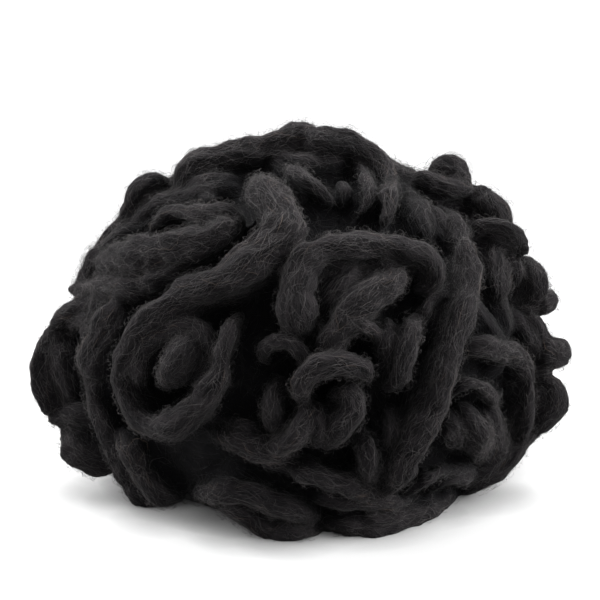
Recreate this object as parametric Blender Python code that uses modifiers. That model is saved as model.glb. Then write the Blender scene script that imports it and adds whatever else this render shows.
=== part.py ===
"""A heap of black wool roving: one long, loose strand of carded fibre lying in folds.

The heap is one solid. A rounded mound stands for the folds packed inside it, and every
fold that shows is a round strand laid over the mound. The strand and mound are grown
together into one skin and cut flat where the heap lies on the floor.

The folds are laid out as they are seen, on a square grid. A fold is then pushed away from
the eye until it meets the mound or the floor, and raised by its own lift.
"""

import math
from collections import namedtuple

import bmesh
import bpy
from mathutils import Matrix, Vector

MM = 0.001

# ---- the grid the folds are measured on -------------------------------------------------
GRID_UNIT = 0.65 * MM          # one grid unit, so a loose strand is 20 to 25 mm thick
GRID_MIDDLE = 300.0            # column and row that the eye looks straight at
GRID_FLOOR = 469.0             # row of the floor under the middle of the heap
EYE_DISTANCE = 2000.0 * MM
EYE_HEIGHT_ANGLE = 20.0        # degrees above the floor

# ---- the mound inside -------------------------------------------------------------------
MOUND_MIDDLE = Vector((0.0, 0.0, 78.0)) * MM
MOUND_HALF = Vector((136.0, 114.0, 124.0)) * MM
MOUND_SUBDIVISIONS = 5

# ---- the strand -------------------------------------------------------------------------
STEP = 4.0 * MM                # distance between two stations along a fold
TUCK_DEPTH = 18.0 * MM         # how far the end of a fold dips into the heap
TUCK_LENGTH = 22.0 * MM
END_TAPER = 0.30               # share of its width a fold loses at its ends
STRAND_RISE = 9.0 * MM         # added to the lift of every fold
PLUMPNESS = 1.06               # makes up for the width lost when the skin is softened
FLOOR_SHARE = 0.55             # height of a resting strand's middle, in strand radii
UNDER_SPACING = 0.9            # gap between a fold and the fold packed under it, in radii
UNDER_WIDTH = 0.92             # width of that hidden fold against the one above
DEPTH_SMOOTHING = 6

# ---- the skin ---------------------------------------------------------------------------
SKIN_GRAIN = 3.2 * MM
SKIN_SMOOTHING = 3
SKIN_TRIANGLES = 11700
BELOW_FLOOR = 6.0 * MM         # how far the shells reach under the floor before the cut
CUT_SIZE = 600.0 * MM
CUT_DEPTH = 80.0 * MM

WOOL_COLOUR = (0.012, 0.0115, 0.0115, 1.0)

# One row for each fold. View is the side it is seen from, lift is in millimetres above the
# mound, widths are spread evenly from start to end, bends are (column, row) on the grid.
Fold = namedtuple("Fold", "name view lift widths bends")

FOLDS = (
    # -- the middle of the front --
    Fold("front_diagonal", "front", 25, (16, 20, 24, 26, 24, 26, 29, 26),
         ((430, 207), (451, 219), (463, 248), (469, 284), (463, 318), (453, 350), (438, 400),
          (416, 440), (398, 476), (388, 494))),
    Fold("arch", "front", 19, (32, 38, 34, 29, 27, 27, 22),
         ((303, 342), (297, 308), (299, 276), (320, 254), (360, 247), (402, 250), (434, 264),
          (432, 284), (412, 290))),
    Fold("under_arch", "front", 10, (28, 28), ((370, 262), (346, 282), (328, 306), (320, 330))),
    Fold("centre_diagonal", "front", 17, (36, 38, 30),
         ((404, 268), (380, 288), (356, 308), (336, 334), (324, 360))),
    Fold("hood", "front", 22, (13, 14, 14),
         ((322, 362), (332, 340), (350, 327), (370, 330), (382, 348))),
    Fold("small_arch", "front", 16, (16, 15),
         ((270, 366), (262, 350), (274, 341), (292, 345), (305, 358), (306, 374))),
    Fold("lip", "front", 25, (22, 26, 24),
         ((300, 408), (303, 384), (318, 367), (340, 363), (360, 370), (370, 386))),
    Fold("right_fold", "front", 19, (26, 25, 20), ((414, 312), (408, 346), (399, 376), (384, 392))),
    Fold("right_fold_in", "front", 15, (26, 20), ((388, 318), (386, 346), (378, 372))),
    Fold("below_right", "front", 9, (18, 14), ((452, 286), (434, 300), (424, 318), (418, 340))),
    Fold("left_lobe", "front", 14, (24, 28), ((284, 376), (272, 396), (274, 418), (290, 432))),
    Fold("right_lobe", "front", 20, (26, 28, 24),
         ((326, 398), (346, 394), (354, 408), (340, 430), (322, 446))),
    Fold("fan_middle", "front", 24, (18, 32), ((316, 402), (318, 422), (320, 446))),
    Fold("fan_left", "front", 22, (18, 26, 24), ((312, 402), (302, 424), (286, 444), (262, 440))),
    Fold("tail_low", "front", 9, (24, 28), ((212, 430), (238, 442), (266, 450), (296, 458))),
    Fold("tail_high", "front", 8, (18, 20), ((218, 418), (244, 426), (272, 430))),
    Fold("low_sweep", "front", 14, (22, 24),
         ((288, 460), (306, 474), (334, 482), (362, 490), (384, 498))),
    Fold("vertical_a", "front", 18, (20, 26), ((362, 424), (365, 446), (369, 470), (366, 486))),
    Fold("vertical_b", "front", 12, (22, 20), ((390, 402), (390, 424), (388, 446), (384, 462))),
    Fold("vertical_c", "front", 8, (14, 14), ((374, 410), (376, 430), (380, 452))),
    # -- along the floor at the front --
    Fold("bottom_roll_high", "front", 10, (24, 30),
         ((192, 494), (224, 490), (256, 496), (290, 508), (318, 516))),
    Fold("bottom_roll_low", "front", 8, (20, 30, 32, 28),
         ((214, 500), (240, 510), (266, 525), (296, 528), (330, 525))),
    Fold("bottom_right", "front", 8, (28, 31, 23),
         ((318, 519), (352, 524), (384, 524), (416, 513), (440, 502), (462, 488))),
    Fold("bottom_middle", "front", 8, (18, 18), ((306, 494), (340, 500), (380, 502), (420, 498))),
    # -- the big spiral on the left --
    Fold("spiral", "front", 20, (46, 43, 46, 38, 33, 29, 21, 17, 22, 36, 30, 17, 14),
         ((256, 180), (272, 205), (282, 228), (266, 250), (240, 270), (208, 286), (176, 300),
          (150, 320), (130, 346), (120, 374), (127, 404), (146, 426), (172, 424), (198, 406),
          (216, 380), (224, 350), (230, 330), (242, 312))),
    Fold("coil", "front", 13, (16, 20, 22, 22, 22, 22, 20),
         ((150, 396), (140, 382), (140, 360), (151, 342), (172, 331), (194, 326), (206, 338),
          (207, 356), (200, 372))),
    Fold("coil_core", "front", 19, (28, 40, 42, 32),
         ((200, 330), (187, 350), (175, 370), (164, 388))),
    Fold("inner_rib", "front", 10, (12, 12), ((141, 338), (131, 358), (131, 378), (139, 394))),
    # -- upper left --
    Fold("loop_low", "front", 19, (38, 36, 40, 34),
         ((96, 268), (128, 258), (162, 253), (198, 244), (226, 232), (238, 218))),
    Fold("loop_high", "front", 22, (12, 18, 34),
         ((148, 242), (156, 226), (176, 213), (204, 214), (230, 218), (238, 232))),
    Fold("below_loop", "front", 6, (26, 24), ((132, 302), (150, 284), (176, 272), (208, 268))),
    Fold("left_band", "front", 8, (30, 28), ((68, 289), (100, 289), (134, 292), (152, 304))),
    Fold("shoulder", "front", 2, (22, 26), ((122, 240), (102, 254), (90, 274), (79, 296))),
    Fold("left_mass", "front", 12, (38, 42), ((126, 300), (112, 326), (100, 354), (94, 386))),
    Fold("left_fall", "front", 16, (20, 20, 25, 32, 38),
         ((94, 368), (97, 400), (109, 432), (124, 462), (141, 490), (168, 504))),
    Fold("left_fall_in", "front", 12, (20, 26, 32, 32),
         ((118, 424), (132, 450), (144, 474), (160, 490), (184, 499))),
    Fold("left_curl", "front", 8, (22, 22), ((122, 312), (94, 302), (66, 314), (52, 334))),
    Fold("left_curl_in", "front", 12, (20, 18), ((112, 330), (92, 318), (76, 324), (72, 342))),
    Fold("edge_outer", "front", 4, (15, 14),
         ((51, 326), (38, 354), (36, 380), (45, 404), (60, 420))),
    Fold("edge_inner", "front", 8, (10, 11),
         ((54, 330), (58, 356), (64, 382), (78, 400), (94, 406))),
    Fold("foot_left_high", "front", 8, (28, 26), ((48, 420), (74, 415), (98, 417), (114, 430))),
    Fold("foot_left_low", "front", 4, (32, 40, 44, 42),
         ((66, 424), (76, 441), (91, 455), (128, 455))),
    # -- the top --
    Fold("ridge_outer", "front", 12, (31, 32),
         ((184, 208), (184, 181), (200, 165), (230, 156), (262, 150), (290, 140), (322, 131))),
    Fold("ridge_inner", "front", 10, (26, 26),
         ((210, 202), (207, 178), (220, 164), (250, 162), (280, 160))),
    Fold("crown_outer", "front", 20, (24, 30, 25, 21, 20, 20),
         ((294, 138), (322, 140), (352, 146), (375, 160), (388, 182), (389, 206), (383, 228))),
    Fold("crown_middle", "front", 18, (12, 14, 14, 13),
         ((334, 173), (349, 166), (362, 171), (369, 187), (366, 204), (354, 214))),
    Fold("crown_sweep", "front", 10, (16, 18, 14),
         ((308, 158), (328, 154), (348, 156), (362, 162))),
    Fold("crown_ball", "front", 13, (20, 24), ((340, 182), (345, 194), (342, 206))),
    Fold("crown_diagonal", "front", 13, (22, 22), ((276, 170), (298, 178), (318, 192), (332, 206))),
    Fold("behind_crown", "front", -5, (28, 34), ((404, 182), (412, 206), (418, 232), (424, 254))),
    Fold("east_knob", "front", 4, (22, 30, 32), ((432, 186), (440, 168), (456, 171), (469, 188))),
    Fold("east_bar", "front", 12, (16, 22, 23), ((398, 174), (424, 181), (450, 189), (476, 191))),
    Fold("east_low", "front", 5, (16, 18), ((430, 207), (450, 211), (474, 209))),
    Fold("corner_edge", "front", 4, (18, 18),
         ((172, 182), (150, 181), (135, 192), (129, 212), (119, 230))),
    Fold("corner_in", "front", 8, (26, 24), ((166, 196), (150, 196), (144, 212), (150, 230))),
    Fold("corner_low", "front", 8, (18, 18), ((118, 238), (128, 225), (140, 232))),
    # -- the right side --
    Fold("east_shoulder", "front", 4, (26, 27), ((474, 186), (490, 203), (500, 222), (500, 240))),
    Fold("brow", "front", 31, (17, 20),
         ((462, 240), (480, 230), (501, 227), (517, 237), (527, 256))),
    Fold("eye", "front", 26, (34, 40, 40, 34),
         ((482, 236), (487, 252), (492, 272), (496, 290), (499, 304))),
    Fold("eye_rim", "front", 19, (16, 16), ((502, 242), (513, 258), (515, 278), (504, 298))),
    Fold("cheek", "front", 12, (24, 26), ((518, 257), (533, 272), (536, 290), (522, 304))),
    Fold("east_curl", "front", 4, (20, 24, 26), ((518, 303), (536, 305), (550, 301), (552, 288))),
    Fold("east_slope_out", "front", 6, (18, 20), ((508, 304), (526, 316), (540, 333), (548, 356))),
    Fold("east_slope_in", "front", 10, (22, 24), ((494, 306), (514, 320), (530, 340), (538, 360))),
    Fold("hook", "front", 18, (26, 24, 14, 14),
         ((458, 352), (482, 348), (506, 352), (522, 366), (529, 392), (526, 420), (522, 448))),
    Fold("small_hook", "front", 16, (16, 15),
         ((446, 404), (452, 390), (468, 382), (484, 389), (495, 400), (503, 388))),
    Fold("lower_lobe", "front", 14, (30, 32), ((456, 402), (470, 420), (478, 440), (474, 458))),
    Fold("lower_lobe_in", "front", 12, (26, 28), ((444, 408), (452, 428), (464, 446))),
    Fold("lower_lobe_out", "front", 8, (24, 24), ((486, 408), (496, 430), (494, 454))),
    Fold("lower_rib", "front", 14, (12, 14),
         ((508, 416), (507, 440), (498, 460), (478, 474), (452, 482))),
    Fold("east_lobe_high", "front", 0, (30, 36, 38), ((520, 352), (546, 353), (570, 354))),
    Fold("east_lobe_low", "front", 2, (26, 26),
         ((526, 380), (552, 387), (557, 406), (542, 420), (526, 432))),
    Fold("south_east", "front", 8, (16, 18),
         ((536, 426), (516, 455), (498, 474), (476, 484), (448, 494))),
    Fold("south_east_in", "front", 6, (20, 22), ((500, 458), (476, 470), (450, 476), (424, 490))),
    Fold("south_small", "front", 12, (16, 16), ((398, 494), (420, 484), (438, 472), (452, 462))),
    # -- broad folds that lie deeper and close the gaps at the front --
    Fold("under_left", "front", -8, (38, 42), ((120, 296), (108, 340), (102, 384), (110, 424))),
    Fold("under_left_foot", "front", -9, (34, 38), ((88, 408), (106, 432), (124, 456), (140, 474))),
    Fold("under_left_top", "front", -9, (36, 44),
         ((120, 250), (146, 226), (176, 206), (212, 192), (246, 186))),
    Fold("under_loop", "front", -7, (40, 34), ((112, 282), (150, 268), (196, 262), (232, 250))),
    Fold("under_lobes", "front", -7, (44, 50), ((462, 396), (480, 420), (488, 446), (462, 470))),
    Fold("under_saddle", "front", -13, (36, 40), ((396, 184), (414, 214), (440, 240), (452, 276))),
    Fold("under_tail", "front", -8, (26, 30), ((204, 424), (244, 440), (282, 456), (312, 476))),
    # -- the back, laid out in the same way and plainer --
    Fold("back_floor_a", "back", 4, (28, 30),
         ((96, 462), (150, 492), (220, 516), (300, 522), (380, 518))),
    Fold("back_floor_b", "back", 4, (28, 26),
         ((350, 514), (420, 502), (476, 480), (512, 448), (536, 404))),
    Fold("back_edge_left", "back", 4, (26, 26),
         ((76, 436), (66, 398), (68, 352), (84, 304), (112, 268))),
    Fold("back_snake", "back", 15, (28, 34, 32),
         ((122, 300), (110, 350), (125, 400), (165, 425), (205, 400), (215, 350), (205, 300),
          (225, 262), (270, 250))),
    Fold("back_middle", "back", 16, (28, 32),
         ((300, 270), (330, 300), (335, 350), (310, 390), (270, 405), (245, 440))),
    Fold("back_middle_in", "back", 8, (26, 28), ((262, 300), (258, 336), (272, 362))),
    Fold("back_right", "back", 15, (28, 34, 30),
         ((380, 260), (420, 280), (440, 320), (430, 370), (395, 400), (370, 440), (390, 480))),
    Fold("back_right_low", "back", 12, (28, 28),
         ((482, 300), (500, 350), (490, 400), (456, 430), (434, 462))),
    Fold("back_shoulder", "back", 8, (26, 28),
         ((402, 212), (436, 236), (468, 266), (492, 300), (504, 340))),
    Fold("back_brow", "back", 11, (26, 30),
         ((158, 262), (190, 248), (228, 240), (268, 236), (300, 228))),
    Fold("back_crown", "back", 8, (26, 26),
         ((218, 200), (248, 178), (286, 166), (324, 172), (344, 198), (326, 226))),
    Fold("back_crown_right", "back", 8, (24, 26), ((352, 240), (384, 225), (398, 196), (386, 172))),
    Fold("back_left_in", "back", 8, (28, 26), ((158, 326), (160, 362), (172, 384))),
    Fold("back_low", "back", 12, (28, 28),
         ((130, 448), (180, 464), (230, 470), (290, 475), (340, 468))),
    Fold("back_right_in", "back", 8, (26, 26), ((372, 306), (382, 346), (362, 380))),
    Fold("back_low_right", "back", 9, (26, 24), ((496, 438), (460, 466), (410, 486), (350, 496))),
    Fold("back_centre_low", "back", 6, (24, 28), ((306, 400), (316, 430), (344, 450))),
    Fold("back_left_high", "back", 8, (26, 26), ((112, 290), (146, 278), (182, 274))),
    Fold("back_right_high", "back", 8, (26, 24), ((440, 272), (466, 306), (464, 346), (458, 392))),
    Fold("back_top_left", "back", 6, (24, 26), ((176, 246), (190, 234), (212, 226), (240, 222))),
    Fold("back_fill_a", "back", 4, (28, 30), ((238, 290), (228, 330), (236, 372), (224, 408))),
    Fold("back_fill_b", "back", 3, (30, 32),
         ((354, 262), (364, 300), (352, 344), (362, 392), (350, 430))),
    Fold("back_fill_c", "back", 5, (22, 24),
         ((140, 336), (150, 372), (176, 374), (184, 340), (176, 306))),
    Fold("back_fill_d", "back", 5, (26, 28), ((404, 300), (412, 340), (396, 374))),
    Fold("back_fill_e", "back", 3, (28, 30), ((190, 436), (238, 450), (290, 446), (334, 436))),
    Fold("back_fill_f", "back", 4, (28, 30), ((286, 298), (300, 342), (284, 380))),
    Fold("back_fill_g", "back", 2, (26, 28), ((92, 376), (100, 416), (132, 440))),
    Fold("back_fill_h", "back", 4, (26, 28), ((424, 246), (384, 236), (344, 244), (320, 262))),
    Fold("back_fill_i", "back", 3, (26, 28), ((420, 430), (444, 400), (452, 366))),
    # -- the two flanks, behind what the front shows --
    Fold("right_flank_a", "right", 2, (26, 30),
         ((352, 236), (338, 270), (340, 320), (358, 368), (352, 410))),
    Fold("right_flank_b", "right", 4, (28, 28),
         ((392, 262), (398, 310), (384, 352), (396, 400), (376, 444))),
    Fold("right_flank_c", "right", 0, (34, 34), ((330, 400), (342, 440), (372, 476))),
    Fold("right_floor", "right", 0, (24, 26), ((272, 504), (310, 515), (356, 514), (404, 496))),
    Fold("right_fore_a", "right", -10, (28, 32),
         ((266, 246), (252, 290), (264, 332), (250, 374), (262, 416))),
    Fold("right_fore_b", "right", -10, (28, 30), ((222, 296), (212, 340), (224, 382), (212, 428))),
    Fold("right_fore_c", "right", -3, (26, 28),
         ((300, 262), (306, 306), (296, 350), (306, 396), (298, 440))),
    Fold("left_flank_a", "left", 2, (22, 28),
         ((252, 268), (262, 306), (256, 350), (238, 392), (250, 430))),
    Fold("left_flank_b", "left", 4, (28, 28),
         ((206, 268), (200, 316), (214, 356), (202, 404), (222, 448))),
    Fold("left_flank_c", "left", 0, (34, 34), ((270, 404), (258, 442), (228, 476))),
    Fold("left_floor", "left", 0, (26, 24), ((198, 496), (250, 514), (296, 515), (330, 504))),
    Fold("left_fore_a", "left", -8, (28, 32),
         ((336, 250), (350, 292), (338, 334), (352, 376), (340, 416))),
    Fold("left_fore_b", "left", -9, (28, 30), ((380, 300), (390, 342), (378, 384), (388, 428))),
    Fold("left_fore_c", "left", -3, (26, 28),
         ((300, 270), (294, 312), (304, 354), (294, 398), (302, 440))),
    # -- the top, seen from above --
    Fold("top_a", "above", 0, (26, 28),
         ((200, 470), (230, 440), (276, 426), (320, 436), (350, 460))),
    Fold("top_b", "above", 0, (28, 26),
         ((390, 470), (360, 426), (310, 396), (254, 394), (204, 420))),
    Fold("top_d", "above", 1, (26, 28),
         ((176, 446), (196, 404), (236, 374), (286, 364), (330, 372))),
    Fold("top_e", "above", 1, (26, 26), ((424, 446), (410, 402), (376, 370), (340, 352))),
    Fold("top_c", "above", 0, (26, 26), ((250, 470), (290, 456), (320, 470), (300, 492))),
)


def side_turn(view):
    """How far a view is turned about the upright, in radians."""
    turns = {"front": 0.0, "right": 90.0, "back": 180.0, "left": 270.0, "above": 0.0}
    return math.radians(turns[view])


def looking(view):
    """The eye and the picture's two directions, before the view is turned."""
    rise = math.radians(90.0 if view == "above" else EYE_HEIGHT_ANGLE)
    across = Vector((1.0, 0.0, 0.0))
    up = Vector((0.0, math.sin(rise), math.cos(rise)))
    ahead = Vector((0.0, math.cos(rise), -math.sin(rise)))
    eye = up * (GRID_FLOOR - GRID_MIDDLE) * GRID_UNIT - ahead * EYE_DISTANCE
    return eye, across, up


def mound_half(view):
    """The mound's half sizes along the turned view's own directions."""
    if view in ("left", "right"):
        return Vector((MOUND_HALF.y, MOUND_HALF.x, MOUND_HALF.z))
    return MOUND_HALF


def smooth_curve(points, step):
    """A smooth line through flat points, as points about one step apart."""
    ends = [points[0] * 2 - points[1], *points, points[-1] * 2 - points[-2]]
    line = []
    for before, start, stop, after in zip(ends, ends[1:], ends[2:], ends[3:]):
        count = max(2, round((stop - start).length / step))
        for station in range(count):
            t = station / count
            line.append(0.5 * (2 * start + (stop - before) * t
                               + (2 * before - 5 * start + 4 * stop - after) * t * t
                               + (3 * start - before - 3 * stop + after) * t * t * t))
    line.append(points[-1])
    return line


def spread(values, share):
    """The value at a share of the way along a short list."""
    if len(values) == 1:
        return float(values[0])
    place = share * (len(values) - 1)
    first = min(int(place), len(values) - 2)
    part = place - first
    return values[first] * (1.0 - part) + values[first + 1] * part


def ease(share):
    """A soft step from nought to one."""
    share = min(max(share, 0.0), 1.0)
    return share * share * (3.0 - 2.0 * share)


def end_rounding(reach):
    """Share of its radius that a fold has this many radii from its end, so that it is round."""
    return max(math.sqrt(1.0 - (1.0 - min(reach, 1.0)) ** 2), 0.25)


def first_meeting(eye, ray, half, radius, lift):
    """How far along a line of sight the raised mound or the resting height is met."""
    start = Vector(((eye - MOUND_MIDDLE)[i] / half[i] for i in range(3)))
    ray_in = Vector((ray[i] / half[i] for i in range(3)))
    square = ray_in.dot(ray_in)
    middle = -start.dot(ray_in) / square
    inside = (start.dot(ray_in) ** 2 - square * (start.dot(start) - 1.0)) / square ** 2
    distance = middle - math.sqrt(max(inside, 0.0)) - lift
    if ray.z < 0.0:
        distance = min(distance, (radius * FLOOR_SHARE - eye.z) / ray.z)
    return distance


def evened(values, rounds):
    """The same values with sharp changes between neighbours worn down."""
    for _ in range(rounds):
        inner = [(a + 2.0 * b + c) / 4.0 for a, b, c in zip(values, values[1:], values[2:])]
        values = [values[0], *inner, values[-1]]
    return values


def fold_stations(fold):
    """Places and radii along one fold, in metres."""
    eye, across, up = looking(fold.view)
    half = mound_half(fold.view)
    flat = [Vector((column - GRID_MIDDLE, GRID_FLOOR - row)) * GRID_UNIT for column, row in fold.bends]
    line = smooth_curve(flat, STEP)
    length = sum((b - a).length for a, b in zip(line, line[1:]))
    last = len(line) - 1
    radii = []
    rays = []
    dips = []
    for number, spot in enumerate(line):
        share = number / last
        end_gap = min(share, 1.0 - share) * length
        near_end = 1.0 - ease(end_gap / TUCK_LENGTH)
        radius = 0.5 * spread(fold.widths, share) * GRID_UNIT * PLUMPNESS
        radii.append(radius * (1.0 - END_TAPER * near_end) * end_rounding(end_gap / radius))
        rays.append((across * spot.x + up * spot.y - eye).normalized())
        dips.append(TUCK_DEPTH * near_end)
    lift = fold.lift * MM + STRAND_RISE
    meets = [first_meeting(eye, ray, half, radius, lift) for ray, radius in zip(rays, radii)]
    meets = evened(meets, DEPTH_SMOOTHING)
    turn = Matrix.Rotation(side_turn(fold.view), 3, "Z")
    places = [turn @ (eye + ray * (meet + dip)) for ray, meet, dip in zip(rays, meets, dips)]
    return places, [radius * meet / EYE_DISTANCE for radius, meet in zip(radii, meets)]


def mound_foot(place):
    """The point of the mound's surface that lies under a place."""
    out = place - MOUND_MIDDLE
    reach = Vector((out[i] / MOUND_HALF[i] for i in range(3))).length
    return MOUND_MIDDLE + out / max(reach, 1.0)


def packed_folds(places, radii):
    """A fold, then the hidden folds that carry it, down to the mound."""
    feet = [mound_foot(place) for place in places]
    widest = max(radii)
    deepest = max((foot - place).length for foot, place in zip(feet, places))
    layers = math.ceil(deepest / (widest * UNDER_SPACING))
    rows = [(places, radii)]
    for layer in range(1, layers + 1):
        share = layer / layers
        row = [place.lerp(foot, share) for place, foot in zip(places, feet)]
        rows.append((row, [radius * UNDER_WIDTH for radius in radii]))
    return rows


def strand_curve():
    """All the folds as splines of one curve with a round section."""
    data = bpy.data.curves.new("strand", "CURVE")
    data.dimensions = "3D"
    data.bevel_depth = 1.0
    data.bevel_resolution = 2
    data.use_fill_caps = True
    rows = [row for fold in FOLDS for row in packed_folds(*fold_stations(fold))]
    for places, radii in rows:
        spline = data.splines.new("POLY")
        spline.points.add(len(places) - 1)
        for point, place, radius in zip(spline.points, places, radii):
            point.co = (*place, 1.0)
            point.radius = radius
    return bpy.data.objects.new("strand", data)


def heap_mesh(collection):
    """The strands and the mound as one mesh of closed shells."""
    curve = strand_curve()
    collection.objects.link(curve)
    bpy.context.view_layer.update()
    graph = bpy.context.evaluated_depsgraph_get()
    strands = bpy.data.meshes.new_from_object(curve.evaluated_get(graph))
    shells = bmesh.new()
    shells.from_mesh(strands)
    bmesh.ops.remove_doubles(shells, verts=shells.verts, dist=0.01 * MM)
    mound = Matrix.Translation(MOUND_MIDDLE) @ Matrix.Diagonal((*MOUND_HALF, 1.0))
    bmesh.ops.create_icosphere(shells, subdivisions=MOUND_SUBDIVISIONS, radius=1.0, matrix=mound)
    for vertex in shells.verts:
        vertex.co.z = max(vertex.co.z, -BELOW_FLOOR)
    mesh = bpy.data.meshes.new("wool_roving")
    shells.to_mesh(mesh)
    shells.free()
    bpy.data.objects.remove(curve)
    bpy.data.meshes.remove(strands)
    return mesh


def evaluated_triangles(thing):
    """Triangles in an object's evaluated mesh."""
    bpy.context.view_layer.update()
    graph = bpy.context.evaluated_depsgraph_get()
    mesh = thing.evaluated_get(graph).to_mesh()
    mesh.calc_loop_triangles()
    count = len(mesh.loop_triangles)
    thing.evaluated_get(graph).to_mesh_clear()
    return count


def floor_cutter(collection):
    """A block under the floor that takes away whatever lies below it."""
    shape = bmesh.new()
    place = Matrix.Translation((0.0, 0.0, -0.5 * CUT_DEPTH))
    stretch = Matrix.Diagonal((CUT_SIZE, CUT_SIZE, CUT_DEPTH, 1.0))
    bmesh.ops.create_cube(shape, size=1.0, matrix=place @ stretch)
    mesh = bpy.data.meshes.new("floor_cutter")
    shape.to_mesh(mesh)
    shape.free()
    cutter = bpy.data.objects.new("floor_cutter", mesh)
    cutter.hide_render = True
    cutter.display_type = "WIRE"
    collection.objects.link(cutter)
    return cutter


def skinned(heap):
    """Grow the shells into one skin, soften it and thin it out."""
    skin = heap.modifiers.new("one skin", "REMESH")
    skin.mode = "VOXEL"
    skin.voxel_size = SKIN_GRAIN
    soft = heap.modifiers.new("soften", "SMOOTH")
    soft.factor = 0.5
    soft.iterations = SKIN_SMOOTHING
    fine = evaluated_triangles(heap)
    thin = heap.modifiers.new("thin out", "DECIMATE")
    thin.ratio = SKIN_TRIANGLES / fine


def wool_material():
    """Matt black wool."""
    material = bpy.data.materials.new("black_wool")
    material.use_nodes = True
    shader = material.node_tree.nodes["Principled BSDF"]
    shader.inputs["Base Color"].default_value = WOOL_COLOUR
    shader.inputs["Roughness"].default_value = 0.95
    return material


def recentred(heap):
    """Keep the evaluated shape and stand it on the middle of its own base."""
    bpy.context.view_layer.update()
    graph = bpy.context.evaluated_depsgraph_get()
    mesh = bpy.data.meshes.new_from_object(heap.evaluated_get(graph))
    heap.modifiers.clear()
    heap.data = mesh
    columns = [[vertex.co[axis] for vertex in mesh.vertices] for axis in range(3)]
    middle = Vector((
        0.5 * (min(columns[0]) + max(columns[0])),
        0.5 * (min(columns[1]) + max(columns[1])),
        min(columns[2]),
    ))
    mesh.transform(Matrix.Translation(-middle))
    print("moved by", [round(value / MM, 2) for value in middle])


def main():
    for thing in list(bpy.data.objects):
        bpy.data.objects.remove(thing)
    group = bpy.data.collections.new("wool_roving")
    cutters = bpy.data.collections.new("cutters")
    bpy.context.scene.collection.children.link(group)
    bpy.context.scene.collection.children.link(cutters)
    heap = bpy.data.objects.new("wool_roving", heap_mesh(group))
    group.objects.link(heap)
    skinned(heap)
    flat = heap.modifiers.new("flat base", "BOOLEAN")
    flat.operation = "DIFFERENCE"
    flat.solver = "EXACT"
    flat.object = floor_cutter(cutters)
    recentred(heap)
    heap.data.materials.clear()
    heap.data.materials.append(wool_material())


main()
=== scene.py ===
"""A heap of black wool roving, dressed for a close look.

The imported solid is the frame. Over it this script lays the strand itself, fold by fold, on
the same grid that the solid was laid out on, and grows strand and packed middle together
into one soft skin. Wool fibres are then combed over that skin along every fold, and last
come the floor, the light and the camera.
"""

import math
from collections import namedtuple

import bpy
import numpy as np
from bpy.props import FloatProperty, FloatVectorProperty, IntProperty, PointerProperty, StringProperty
from mathutils import Matrix, Vector, noise
from mathutils.bvhtree import BVHTree


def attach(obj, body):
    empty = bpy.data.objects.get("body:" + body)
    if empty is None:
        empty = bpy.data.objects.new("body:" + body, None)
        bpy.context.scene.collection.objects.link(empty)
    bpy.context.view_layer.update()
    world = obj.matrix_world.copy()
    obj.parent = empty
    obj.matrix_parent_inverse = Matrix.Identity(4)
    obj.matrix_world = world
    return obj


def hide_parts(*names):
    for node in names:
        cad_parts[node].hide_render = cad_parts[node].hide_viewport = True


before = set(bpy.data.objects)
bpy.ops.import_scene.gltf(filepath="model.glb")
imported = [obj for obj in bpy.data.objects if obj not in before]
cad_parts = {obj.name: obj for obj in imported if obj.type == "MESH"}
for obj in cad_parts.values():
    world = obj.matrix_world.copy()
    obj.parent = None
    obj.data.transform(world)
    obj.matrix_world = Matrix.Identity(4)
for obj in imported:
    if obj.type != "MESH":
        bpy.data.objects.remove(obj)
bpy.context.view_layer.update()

bl_info = {
    "name": "Wool roving heap",
    "version": (1, 0, 0),
    "blender": (4, 5, 0),
    "location": "3D View > Sidebar > Roving",
    "description": "Lays a heap of black carded wool roving and its fibres",
    "category": "Add Mesh",
}

MM = 0.001
PIXELS = 600                   # width and height of the picture
SENSOR = 36.0                  # millimetres
FLOOR_SIZE = 12.0              # metres along each side

# ---- the grid the folds are measured on, as in the solid --------------------------------
GRID_MIDDLE = 300.0            # column and row that the eye looks straight at
GRID_FLOOR = 469.0             # row of the floor under the middle of the heap
STEP = 4.0 * MM                # distance between two stations along a fold
TUCK_LENGTH = 22.0 * MM        # length over which the end of a fold dips into the heap
END_TAPER = 0.30               # share of its width a fold loses at its ends
FLOOR_SHARE = 0.55             # height of a resting strand's middle, in strand radii
DEPTH_SMOOTHING = 6            # rounds of evening out a fold's distance from the eye
HEAP_SHIFT = Vector((0.77, -2.70, 0.0)) * MM    # the solid stands on the middle of its box

# ---- the skin and the painted shade in its hollows --------------------------------------
LUMPS = ((22.0 * MM, 1.6), (9.0 * MM, 0.6))     # width of a lump, share of the lump height
BELOW_FLOOR = 3.0 * MM         # how far the strand may reach under the floor before it is levelled
JOINED_WITHIN = 0.005 * MM     # corners of the solid closer than this are one
SIGHT_START = 1.2 * MM         # how far off the skin a line of sight starts
SIGHT_SPREAD = 0.98            # just under one keeps each line of sight outside the skin
SIGHT_SEED = 7
EVENING_ROUNDS = 4
# Painted shade: wool against the mound keeps only this share of its openness, so its colour is darker.
DEEP_SHARE = 0.3               # share of its openness that wool against the mound keeps

# ---- where fibres grow and how they shade -----------------------------------------------
NEAR_SIDE = -0.35              # how far a spot may face away and still count as the near side
OUTLINE_FACING = 0.4           # spots that face the eye less than this lie along an outline
FOOT_HEIGHT = 1.0 * MM         # no fibre starts on skin lower than this
FLOOR_GAP = 0.3 * MM           # lowest that a fibre may reach
END_GIRTH = 0.35               # thickness towards a fibre's ends, as a share of its middle
RISE_POWER = 1.8               # above one, most fibres lie low and few stand high
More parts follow.
